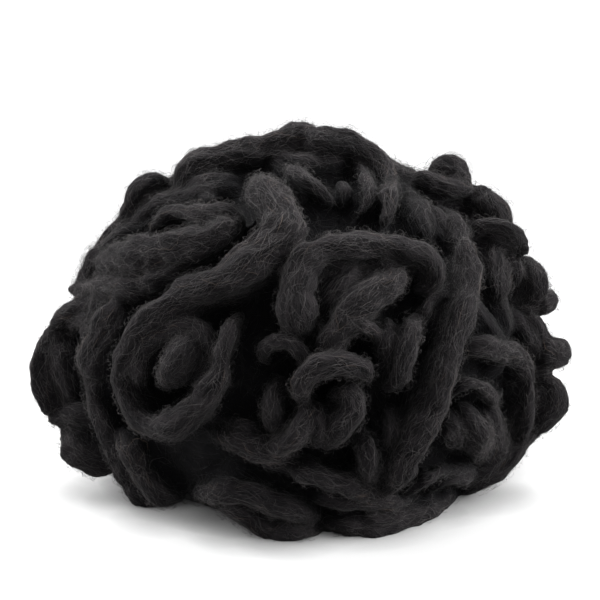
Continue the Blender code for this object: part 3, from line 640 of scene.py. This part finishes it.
def strand_section(sizes):
    """A lobed round section: drawn fibres gather into a few soft locks round the strand."""
    data = bpy.data.curves.new("strand section", "CURVE")
    spline = data.splines.new("POLY")
    spline.points.add(sizes.section_points - 1)
    spline.use_cyclic_u = True
    for number, point in enumerate(spline.points):
        angle = -2.0 * math.pi * number / sizes.section_points
        lobes = math.cos(2.0 * angle) + 0.8 * math.cos(5.0 * angle + 1.0) + 0.7 * math.cos(9.0 * angle + 2.0)
        reach = 1.0 + sizes.lobe_depth * lobes
        point.co = (reach * math.cos(angle), reach * math.sin(angle), 0.0, 1.0)
    section = bpy.data.objects.new("strand section", data)
    bpy.context.scene.collection.objects.link(section)
    return section


def fold_curve(name, shape, section, sizes, number):
    """One fold as a curve with the strand's section, twisted as it goes."""
    data = bpy.data.curves.new(name, "CURVE")
    data.dimensions = "3D"
    data.bevel_mode = "OBJECT"
    data.bevel_object = section
    data.use_fill_caps = True
    spline = data.splines.new("POLY")
    run, spots, radii = shape[:3]
    spline.points.add(len(spots) - 1)
    for point, distance, spot, radius in zip(spline.points, run, spots, radii):
        point.co = (*spot, 1.0)
        point.radius = radius
        point.tilt = sizes.twist * distance + number
    curve = bpy.data.objects.new(name, data)
    bpy.context.scene.collection.objects.link(curve)
    return curve


def strand_mesh(shapes, sizes):
    """All the folds as one mesh, and the fold that each of its faces belongs to."""
    section = strand_section(sizes)
    curves = [fold_curve(fold.name, shape, section, sizes, number)
              for number, (fold, shape) in enumerate(zip(FOLDS, shapes))]
    pick(*curves)
    bpy.ops.object.convert(target="MESH")
    for number, curve in enumerate(curves):
        mark = curve.data.attributes.new("fold", "INT", "FACE")
        mark.data.foreach_set("value", [number] * len(mark.data))
    bpy.ops.object.join()
    strand = bpy.context.view_layer.objects.active
    bpy.data.objects.remove(section)
    owners = mesh_array(strand.data.attributes["fold"].data, "value", np.int32, 1)[:, 0]
    return strand, owners


def packed_middle(sizes):
    """A copy of the solid with its loose triangles joined, drawn in to lie under the strand."""
    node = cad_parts["wool_roving"]
    piece = bpy.data.objects.new("packed middle", node.data.copy())
    bpy.context.scene.collection.objects.link(piece)
    pick(piece)
    bpy.ops.object.mode_set(mode="EDIT")
    bpy.ops.mesh.select_all(action="SELECT")
    bpy.ops.mesh.remove_doubles(threshold=JOINED_WITHIN)
    bpy.ops.object.mode_set(mode="OBJECT")
    tree = BVHTree.FromObject(piece, bpy.context.evaluated_depsgraph_get())
    inward = [-vertex.normal for vertex in piece.data.vertices]
    for vertex, way in zip(piece.data.vertices, inward):
        depth = tree.ray_cast(vertex.co + way * 0.1 * MM, way)[3] or 0.0
        vertex.co += way * min(sizes.middle_inset, sizes.thin_inset * depth)
    return piece


def laid_places(places, owners, tree, shapes, sizes):
    """For places near the heap: metres round and along the nearest fold, and its direction."""
    count = len(places)
    nearest = np.empty(count, dtype=np.int64)
    for index, place in enumerate(places):
        nearest[index] = tree.find_nearest(Vector(place))[2]
    folds = owners[nearest]
    measured = np.zeros((count, 2))
    heading = np.zeros((count, 3))
    for number, (run, spots, radii, along, outward, aside) in enumerate(shapes):
        rows = np.flatnonzero(folds == number)
        if not len(rows):
            continue
        gap = places[rows][:, None, :] - spots[None]
        station = np.argmin(np.einsum("ijk,ijk->ij", gap, gap), axis=1)
        gap = gap[np.arange(len(rows)), station]
        angle = np.arctan2(np.sum(gap * aside[station], axis=1), np.sum(gap * outward[station], axis=1))
        angle = angle - sizes.twist * run[station]
        measured[rows, 0] = angle * radii.mean() + 0.37 * number
        measured[rows, 1] = run[station] + np.sum(gap * along[station], axis=1) + 0.53 * number
        heading[rows] = along[station]
    return measured, heading


def measure_skin(skin, owners, tree, shapes, sizes):
    """Write the strand's own coordinates on the skin, and the way its fibres run."""
    places = mesh_array(skin.data.vertices, "co", np.float32, 3).astype(float)
    measured, heading = laid_places(places, owners, tree, shapes, sizes)
    corners = mesh_array(skin.data.loops, "vertex_index", np.int32, 1)[:, 0]
    layers = skin.data.uv_layers
    for name, scale in (("strand", (1.0, 1.0)), ("locks", (1.0 / sizes.lock_width, 1.0 / sizes.lock_length))):
        layer = layers.get(name) or layers.new(name=name)
        layer.data.foreach_set("uv", (measured[corners] * np.array(scale)).ravel())
    return heading


def openness(skin, sizes):
    """How open to the sky and the room each point of the skin is, from nought to one."""
    tree = BVHTree.FromObject(skin, bpy.context.evaluated_depsgraph_get())
    chance = np.random.default_rng(SIGHT_SEED)
    places = mesh_array(skin.data.vertices, "co", np.float32, 3).astype(float)
    normals = mesh_array(skin.data.vertex_normals, "vector", np.float32, 3).astype(float)
    starts = places + normals * SIGHT_START
    free = np.zeros(len(places))
    for _ in range(sizes.sight_lines):
        ways = unit(normals + unit(chance.normal(0.0, 1.0, normals.shape)) * SIGHT_SPREAD)
        for index, (start, way) in enumerate(zip(starts.tolist(), ways.tolist())):
            distance = tree.ray_cast(start, way, sizes.sight_reach)[3]
            free[index] += 1.0 if distance is None else 0.5 * distance / sizes.sight_reach
    return softened(skin, free / sizes.sight_lines, EVENING_ROUNDS)


def softened(skin, values, rounds):
    """Values on the skin's points, each evened out with its neighbours a few times."""
    ends = mesh_array(skin.data.edges, "vertices", np.int32, 2)
    count = np.bincount(ends.ravel(), minlength=len(values))
    for _ in range(rounds):
        around = np.bincount(ends[:, 0], values[ends[:, 1]], len(values))
        around += np.bincount(ends[:, 1], values[ends[:, 0]], len(values))
        values = 0.5 * values + 0.5 * around / np.maximum(count, 1)
    return values


def clearance(skin, sizes):
    """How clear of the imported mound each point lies: nought deep between the folds, one on top."""
    places = mesh_array(skin.data.vertices, "co", np.float32, 3).astype(float)
    places = places + np.array(HEAP_SHIFT) - np.array([0.0, 0.0, sizes.mound_height])
    reach = np.linalg.norm(places, axis=1)
    depth = reach - reach / np.linalg.norm(places / np.array(sizes.mound_half), axis=1)
    share = np.clip((depth - sizes.dark_below) / (sizes.light_above - sizes.dark_below), 0.0, 1.0)
    return share * share * (3.0 - 2.0 * share)


def grown_skin(sizes):
    """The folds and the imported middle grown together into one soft, combed skin."""
    shapes = [fold_shape(fold, number, sizes) for number, fold in enumerate(FOLDS)]
    skin, owners = strand_mesh(shapes, sizes)
    tree = BVHTree.FromObject(skin, bpy.context.evaluated_depsgraph_get())
    middle = packed_middle(sizes)
    pick(skin, middle)
    bpy.ops.object.join()
    skin.name = "roving_skin"
    for vertex in skin.data.vertices:
        vertex.co.z = max(vertex.co.z, -BELOW_FLOOR)
    apply_modifier(skin, "one skin", "REMESH", mode="VOXEL", voxel_size=sizes.skin_grain)
    apply_modifier(skin, "soften", "SMOOTH", factor=0.5, iterations=sizes.skin_smoothing)
    for size, height in LUMPS:
        apply_modifier(skin, "soft lumps", "DISPLACE", texture=clouds("soft lumps", size),
                       texture_coords="LOCAL", strength=height * sizes.lump_height, mid_level=0.5)
    measure_skin(skin, owners, tree, shapes, sizes)
    apply_modifier(skin, "combed locks", "DISPLACE", texture=clouds("combed locks", 1.0),
                   texture_coords="UV", uv_layer="locks", strength=sizes.lock_height, mid_level=0.5)
    thinned = min(1.0, sizes.skin_triangles / (2.0 * len(skin.data.polygons)))
    apply_modifier(skin, "thin out", "DECIMATE", ratio=thinned, use_collapse_triangulate=True)
    for vertex in skin.data.vertices:
        vertex.co.z = max(vertex.co.z, 0.0)
    heading = measure_skin(skin, owners, tree, shapes, sizes)
    skin.data.uv_layers.remove(skin.data.uv_layers["locks"])
    flow = skin.data.attributes.new("flow", "FLOAT_VECTOR", "POINT")
    flow.data.foreach_set("vector", heading.ravel())
    # Painted shade: the openness attribute, lowered near the mound, darkens the wool's colour and its fibres
    # in the hollows.
    open_air = skin.data.attributes.new("openness", "FLOAT", "POINT")
    lifted = DEEP_SHARE + (1.0 - DEEP_SHARE) * clearance(skin, sizes)
    open_air.data.foreach_set("value", openness(skin, sizes) * lifted)
    return skin


# ---- fibres -----------------------------------------------------------------------------

def fibre_mesh(name, lines, shades, thickness):
    """Thin closed three-sided fibres along many lines, as one mesh with a shade on each."""
    count, steps, _ = lines.shape
    along = unit(np.gradient(lines, axis=1))
    aside = unit(np.cross(along, np.array([0.31, 0.22, 0.93])))
    over = np.cross(along, aside)
    rings = steps - 2
    swell = END_GIRTH + (1.0 - END_GIRTH) * np.sin(np.pi * np.linspace(0.0, 1.0, steps))
    girth = 0.5 * thickness * swell[1:-1]
    turns = np.radians([0.0, 120.0, 240.0])
    shell = np.empty((count, 3 * rings + 2, 3))
    shell[:, 0] = lines[:, 0]
    shell[:, -1] = lines[:, -1]
    for corner, turn in enumerate(turns):
        offset = aside[:, 1:-1] * math.cos(turn) + over[:, 1:-1] * math.sin(turn)
        shell[:, 1 + corner:-1:3] = lines[:, 1:-1] + offset * girth[None, :, None]
    last = 3 * rings + 1
    tips = [(0, 1 + (j + 1) % 3, 1 + j) for j in range(3)]
    tips += [(last, last - 3 + j, last - 3 + (j + 1) % 3) for j in range(3)]
    walls = []
    for ring in range(rings - 1):
        low = 1 + 3 * ring
        walls += [(low + j, low + (j + 1) % 3, low + 3 + (j + 1) % 3, low + 3 + j) for j in range(3)]
    starts = (np.arange(count) * shell.shape[1])[:, None, None]
    corners = np.concatenate([
        (np.array(tips)[None] + starts).reshape(-1),
        (np.array(walls, dtype=int).reshape(-1, 4)[None] + starts).reshape(-1),
    ])
    sides = np.concatenate([np.full(len(tips) * count, 3), np.full(len(walls) * count, 4)])
    mesh = bpy.data.meshes.new(name)
    mesh.vertices.add(count * shell.shape[1])
    mesh.vertices.foreach_set("co", shell.reshape(-1))
    mesh.loops.add(len(corners))
    mesh.loops.foreach_set("vertex_index", corners)
    mesh.polygons.add(len(sides))
    mesh.polygons.foreach_set("loop_start", np.concatenate(([0], np.cumsum(sides)[:-1])))
    mesh.update(calc_edges=True)
    shade = mesh.attributes.new("shade", "FLOAT", "POINT")
    shade.data.foreach_set("value", np.repeat(shades, shell.shape[1]))
    piece = bpy.data.objects.new(name, mesh)
    bpy.context.scene.collection.objects.link(piece)
    return piece


def skin_arrays(skin):
    """The skin's triangles as arrays: corners, normals, areas, flow, openness, strand places."""
    skin.data.calc_loop_triangles()
    corners = mesh_array(skin.data.loop_triangles, "vertices", np.int32, 3)
    places = mesh_array(skin.data.vertices, "co", np.float32, 3).astype(float)
    flow = mesh_array(skin.data.attributes["flow"].data, "vector", np.float32, 3).astype(float)
    free = mesh_array(skin.data.attributes["openness"].data, "value", np.float32, 1)[:, 0].astype(float)
    sides = places[corners]
    normal = np.cross(sides[:, 1] - sides[:, 0], sides[:, 2] - sides[:, 0])
    area = 0.5 * np.linalg.norm(normal, axis=1)
    loops = mesh_array(skin.data.loop_triangles, "loops", np.int32, 3)
    laid = mesh_array(skin.data.uv_layers["strand"].data, "uv", np.float32, 2).astype(float)[loops[:, 0]]
    return sides, unit(normal), area, flow[corners[:, 0]], free[corners].mean(axis=1), laid


def chosen_starts(arrays, kind, sizes, chance):
    """Spots scattered over the skin, closer together on the near side and round its outlines."""
    sides, normal, area, _, free, laid = arrays
    amount = kind.amount
    eye, _, _ = looking("front", sizes)
    facing = normal @ np.array(eye.normalized())
    weight = area * np.where(facing > NEAR_SIDE, 1.0, sizes.far_share)
    weight *= 1.0 + kind.rim * np.clip(1.0 - np.abs(facing) / OUTLINE_FACING, 0.0, 1.0)
    weight *= (sides[:, :, 2].mean(axis=1) > FOOT_HEIGHT) * np.clip(1.6 * free, 0.08, 1.0)
    picked = chance.choice(len(area), amount, p=weight / weight.sum())
    first, second = np.sqrt(chance.uniform(0.0, 1.0, amount)), chance.uniform(0.0, 1.0, amount)
    shares = np.stack([1.0 - first, first * (1.0 - second), first * second], axis=1)
    return np.einsum("ij,ijk->ik", shares, sides[picked]), free[picked], laid[picked]


def combed_lines(skin, arrays, kind, sizes, chance):
    """Lines that walk over the skin with the strand, each with its own slant and crimp."""
    _, normal, _, flow, _, _ = arrays
    amount = kind.amount
    tree = BVHTree.FromObject(skin, bpy.context.evaluated_depsgraph_get())
    spots, free, laid = chosen_starts(arrays, kind, sizes, chance)
    length = chance.uniform(kind.shortest, kind.longest, amount) * MM
    slant = chance.normal(0.0, math.radians(kind.slant), amount)
    slant += np.where(chance.uniform(0.0, 1.0, amount) < 0.5, 0.0, math.pi)
    crimp = chance.uniform(0.2, 1.0, amount) * kind.crimp
    curl = chance.normal(0.0, kind.curl, amount)
    wave = chance.uniform(7.0, 18.0, amount) * MM
    phase = chance.uniform(0.0, 2.0 * math.pi, amount)
    pace = length / (kind.points - 1)
    lines = np.empty((amount, kind.points, 3))
    outs = np.empty((amount, kind.points, 3))
    ahead = np.zeros((amount, 3))
    for step in range(kind.points):
        faces = np.empty(amount, dtype=np.int64)
        for index, spot in enumerate(spots):
            hit, _, face, _ = tree.find_nearest(Vector(spot))
            spots[index] = hit
            faces[index] = face
        out = normal[faces]
        base = flow[faces]
        base = unit(base - out * np.sum(base * out, axis=1, keepdims=True))
        if step:
            same = np.sum(base * ahead, axis=1, keepdims=True)
            base = np.where(same < 0.0, -base, base)
            straight = unit(ahead - out * np.sum(ahead * out, axis=1, keepdims=True))
            base = np.where(np.abs(same) < 0.5, straight, base)
        ahead = base
        lines[:, step] = spots
        outs[:, step] = out
        share = step / (kind.points - 1)
        angle = slant + curl * share + crimp * np.sin(2.0 * math.pi * share * length / wave + phase)
        move = base * np.cos(angle)[:, None] + np.cross(out, base) * np.sin(angle)[:, None]
        spots = spots + move * pace[:, None]
    return lines, outs, free, laid


def dress(name, skin, arrays, kind, sizes, seed):
    """Comb one kind of fibre over the skin as one piece."""
    chance = np.random.default_rng(seed)
    amount = kind.amount
    lines, outs, free, laid = combed_lines(skin, arrays, kind, sizes, chance)
    share = np.linspace(0.0, 1.0, kind.points)[None, :]
    top = kind.rise * MM * chance.uniform(0.0, 1.0, (amount, 1)) ** RISE_POWER
    arch = np.sin(math.pi * share)
    stand = np.where(chance.uniform(0.0, 1.0, (amount, 1)) < kind.free, share ** 1.3, arch)
    height = top * stand + kind.seat * MM
    lines = lines + outs * height[..., None]
    lines[..., 2] = np.maximum(lines[..., 2], FLOOR_GAP)
    locks = laid / np.array([sizes.lock_width, sizes.lock_length])
    tufts = np.array([noise.noise(Vector((across, along, 0.5))) for across, along in locks])
    # Painted shade: a fibre's tone is lowered where the skin under it is shut in, as in the hollows between
    # the folds.
    lit = np.clip((free - HIDDEN_BELOW) / LIT_OVER, 0.0, 1.1)
    shades = chance.beta(1.5, kind.darkness, amount) * lit
    shades *= np.clip(TUFT_MIDDLE + TUFT_RANGE * tufts, TUFT_DARKEST, 1.0)
    return fibre_mesh(name, lines, shades, kind.thickness * MM)


# ---- sizes and colours a user would change ----------------------------------------------

# One row for each kind of fibre, in millimetres and degrees. Amount is the fibres in one piece,
# points those along a fibre. Seat is how high it lies, rise how far it may stand up, free the
# share with one loose end. The higher darkness is, the fewer are light. Rim is how much denser
# they grow along the outlines. A real fibre is about 0.03 mm thick, too fine to show, so these
# are drawn as thick as they need to be.
Kind = namedtuple("Kind", "name pieces amount points shortest longest thickness slant crimp curl "
                          "seat rise free darkness rim")

KINDS = (
    Kind("combed_fibres", 2, 9400, 5, 8.0, 24.0, 0.16, 24.0, 0.5, 0.7, 0.10, 0.9, 0.1, 1.2, 0.0),
    Kind("downy_fibres", 3, 11500, 4, 3.5, 10.0, 0.16, 40.0, 0.9, 1.6, 0.00, 4.6, 0.12, 1.7, 11.0),
    Kind("stray_fibres", 1, 200, 12, 16.0, 42.0, 0.18, 50.0, 0.8, 3.0, 0.10, 6.0, 0.15, 1.2, 0.0),
)


class RovingSizes(bpy.types.PropertyGroup):
    """Sizes of the heap, its strand and its skin."""

    grid_unit: FloatProperty(
        name="Grid unit", description="One unit of the grid the folds are laid out on",
        default=0.65 * MM, precision=5, unit="LENGTH")
    eye_distance: FloatProperty(
        name="Eye distance", description="From the eye to the middle of the heap",
        default=2.0, unit="LENGTH")
    eye_rise: FloatProperty(
        name="Eye rise", description="How far the eye looks down",
        default=math.radians(20.0), subtype="ANGLE")
    mound_half: FloatVectorProperty(
        name="Mound", description="Half sizes of the packed mound inside",
        default=(136.0 * MM, 114.0 * MM, 124.0 * MM), subtype="XYZ_LENGTH", unit="LENGTH")
    mound_height: FloatProperty(
        name="Mound height", description="Height of the mound's middle", default=78.0 * MM, unit="LENGTH")
    strand_rise: FloatProperty(
        name="Strand rise", description="Added to the lift of every fold", default=9.0 * MM, unit="LENGTH")
    tuck_depth: FloatProperty(
        name="Tuck", description="How far the end of a fold dips into the heap",
        default=18.0 * MM, unit="LENGTH")
    plumpness: FloatProperty(
        name="Plumpness", description="Strand width against its width on the grid", default=0.93)
    section_points: IntProperty(
        name="Section points", description="Points round the strand", default=40, min=8)
    lobe_depth: FloatProperty(
        name="Lobe depth", description="Depth of the strand's lobes as a share of its radius", default=0.08)
    twist: FloatProperty(name="Twist", description="Turn of the strand in radians a metre", default=20.0)
    wander: FloatProperty(
        name="Wander", description="How far the strand strays sideways", default=1.1 * MM, unit="LENGTH")
    wander_length: FloatProperty(
        name="Wander length", description="Length of one stray and back", default=46.0 * MM, unit="LENGTH")
    swelling: FloatProperty(
        name="Swelling", description="How much the strand swells and thins along its length", default=0.14)
    middle_inset: FloatProperty(
        name="Middle inset", description="How far the packed middle is drawn in",
        default=5.5 * MM, unit="LENGTH")
    thin_inset: FloatProperty(
        name="Thin inset", description="The same where it is thin, as a share of its depth", default=0.12)
    skin_grain: FloatProperty(
        name="Skin grain", description="Size of the skin's smallest faces", default=1.7 * MM, unit="LENGTH")
    skin_smoothing: IntProperty(name="Skin smoothing", description="Rounds of softening", default=2)
    skin_triangles: IntProperty(
        name="Skin triangles", description="Most triangles in the skin", default=190000)
    lump_height: FloatProperty(
        name="Lumps", description="Height of the soft lumps on the skin", default=2.4 * MM, unit="LENGTH")
    lock_width: FloatProperty(
        name="Lock width", description="Width of the combed locks", default=5.0 * MM, unit="LENGTH")
    lock_length: FloatProperty(
        name="Lock length", description="Length of the combed locks", default=45.0 * MM, unit="LENGTH")
    lock_height: FloatProperty(
        name="Lock height", description="Height of the combed locks", default=2.0 * MM, unit="LENGTH")
    sight_lines: IntProperty(
        name="Sight lines", description="Lines of sight cast from each point", default=16)
    sight_reach: FloatProperty(
        name="Sight reach", description="How far a fold can shade another", default=60.0 * MM, unit="LENGTH")
    # Dark below and light above set painted shade: wool near the mound is darkened.
    dark_below: FloatProperty(
        name="Dark below", description="Wool closer to the mound than this is darkest",
        default=3.0 * MM, unit="LENGTH")
    light_above: FloatProperty(
        name="Light above", description="Wool clearer of the mound than this is lightest",
        default=14.5 * MM, unit="LENGTH")
    far_share: FloatProperty(
        name="Far share", description="How densely the far side is dressed against the near side",
        default=0.45)


class RovingColours(bpy.types.PropertyGroup):
    """Colours of the wool and the paper under it, as sRGB hex codes."""

    # Depth is painted shade: the near black that the wool in the hollows between the folds is darkened to.
    # Strand, dark is partly the wool's own dark streaks and partly painted shade in the lows between the
    # locks. Fibre, dark is also where fibres in the hollows are darkened to, as painted shade.
    depth: StringProperty(name="Depth", description="Wool deep between the folds", default="#060607")
    strand_dark: StringProperty(name="Strand, dark", description="Between the fibres", default="#060607")
    strand_light: StringProperty(name="Strand, light", description="On the fibres", default="#1b191a")
    fibre_dark: StringProperty(name="Fibre, dark", description="Darkest fibres", default="#0a0a0a")
    fibre_light: StringProperty(name="Fibre, light", description="Lightest fibres", default="#464242")
    sun_faded: StringProperty(name="Sun-faded", description="The few brownish fibres", default="#41362f")
    paper: StringProperty(name="Paper", description="Floor under the heap", default="#7d7d7d")


# One row for each softbox: its name, the way to it from the heap, and its strength.
SOFTBOXES = (
    ("overhead softbox", (-0.1, 0.5, 1.0), 9.0),
    ("left softbox", (-1.0, 0.2, 0.35), 9.4),
    ("right softbox", (1.0, 0.0, 0.3), 12.4),
    ("front softbox", (0.2, -1.0, 0.7), 1.2),
)
SOFTBOX_ANGLE = math.radians(60.0)     # how wide each one looks from the heap
ROOM_LIGHT = 0.35


# ---- one operator for each piece --------------------------------------------------------

class PieceOperator:
    """What the operators below share."""

    bl_options = {"REGISTER", "UNDO"}

    def kit(self, context):
        """The sizes and colours of this scene."""
        return context.scene.roving_sizes, context.scene.roving_colours


class ROVING_OT_skin(PieceOperator, bpy.types.Operator):
    """Lay the strand and grow it into one soft skin"""

    bl_idname = "roving.skin"
    bl_label = "Strand and skin"

    def execute(self, context):
        sizes, colours = self.kit(context)
        piece = grown_skin(sizes)
        finish_piece(piece, carded_wool(colours))
        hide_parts("wool_roving")
        return {"FINISHED"}


class ROVING_OT_fibres(PieceOperator, bpy.types.Operator):
    """Comb wool fibres over the skin"""

    bl_idname = "roving.fibres"
    bl_label = "Fibres"

    def execute(self, context):
        sizes, colours = self.kit(context)
        material = wool_fibre(colours)
        skin = bpy.data.objects["roving_skin"]
        arrays = skin_arrays(skin)
        seed = 0
        for kind in KINDS:
            for part in range(kind.pieces):
                seed += 1
                piece = dress(f"{kind.name}_{part + 1}", skin, arrays, kind, sizes, seed)
                finish_piece(piece, material)
        return {"FINISHED"}


class ROVING_OT_stage(PieceOperator, bpy.types.Operator):
    """Set the floor, the light and the camera"""

    bl_idname = "roving.stage"
    bl_label = "Floor, light and camera"

    def execute(self, context):
        sizes, colours = self.kit(context)
        bpy.ops.object.select_all(action="DESELECT")
        bpy.ops.mesh.primitive_plane_add(size=FLOOR_SIZE, location=(0.0, 0.0, 0.0))
        floor = context.active_object
        floor.name = "paper_floor"
        floor.data.materials.append(pale_floor(colours))
        world = bpy.data.worlds.new("soft studio")
        world.use_nodes = True
        room = world.node_tree.nodes["Background"]
        room.inputs["Color"].default_value = (1.0, 1.0, 1.0, 1.0)
        room.inputs["Strength"].default_value = ROOM_LIGHT
        context.scene.world = world
        for name, way, power in SOFTBOXES:
            bpy.ops.object.light_add(type="SUN", location=Vector(way) * 2.0)
            light = context.active_object
            light.name = name
            light.data.angle = SOFTBOX_ANGLE
            light.data.energy = power
            light.rotation_euler = Vector(way).to_track_quat("Z", "Y").to_euler()
        eye, _, _ = looking("front", sizes)
        tilt = math.radians(90.0) - sizes.eye_rise
        bpy.ops.object.camera_add(location=eye - HEAP_SHIFT, rotation=(tilt, 0.0, 0.0))
        camera = context.active_object
        camera.data.sensor_width = SENSOR
        camera.data.lens = SENSOR * sizes.eye_distance / (PIXELS * sizes.grid_unit)
        camera.data.clip_end = 30.0
        context.scene.camera = camera
        context.scene.view_settings.view_transform = "Standard"
        return {"FINISHED"}


class ROVING_PT_panel(bpy.types.Panel):
    """The heap's pieces, sizes and colours"""

    bl_idname = "ROVING_PT_panel"
    bl_label = "Wool roving"
    bl_space_type = "VIEW_3D"
    bl_region_type = "UI"
    bl_category = "Roving"

    def draw(self, context):
        layout = self.layout
        for step in STEPS:
            layout.operator(step.bl_idname)
        for group in (context.scene.roving_sizes, context.scene.roving_colours):
            box = layout.box()
            for name in group.bl_rna.properties.keys():
                if name not in ("rna_type", "name"):
                    box.prop(group, name)


STEPS = (ROVING_OT_skin, ROVING_OT_fibres, ROVING_OT_stage)
CLASSES = (RovingSizes, RovingColours, *STEPS, ROVING_PT_panel)


def register():
    """Make the classes known and give the scene its sizes and colours."""
    for kind in CLASSES:
        bpy.utils.register_class(kind)
    bpy.types.Scene.roving_sizes = PointerProperty(type=RovingSizes)
    bpy.types.Scene.roving_colours = PointerProperty(type=RovingColours)


def unregister():
    """Undo what register did, in reverse."""
    del bpy.types.Scene.roving_colours
    del bpy.types.Scene.roving_sizes
    for kind in reversed(CLASSES):
        bpy.utils.unregister_class(kind)


def main():
    """Give the scene its sizes, then build every piece and the stage."""
    register()
    bpy.ops.roving.skin()
    bpy.ops.roving.fibres()
    bpy.ops.roving.stage()


if __name__ == "__main__":
    main()
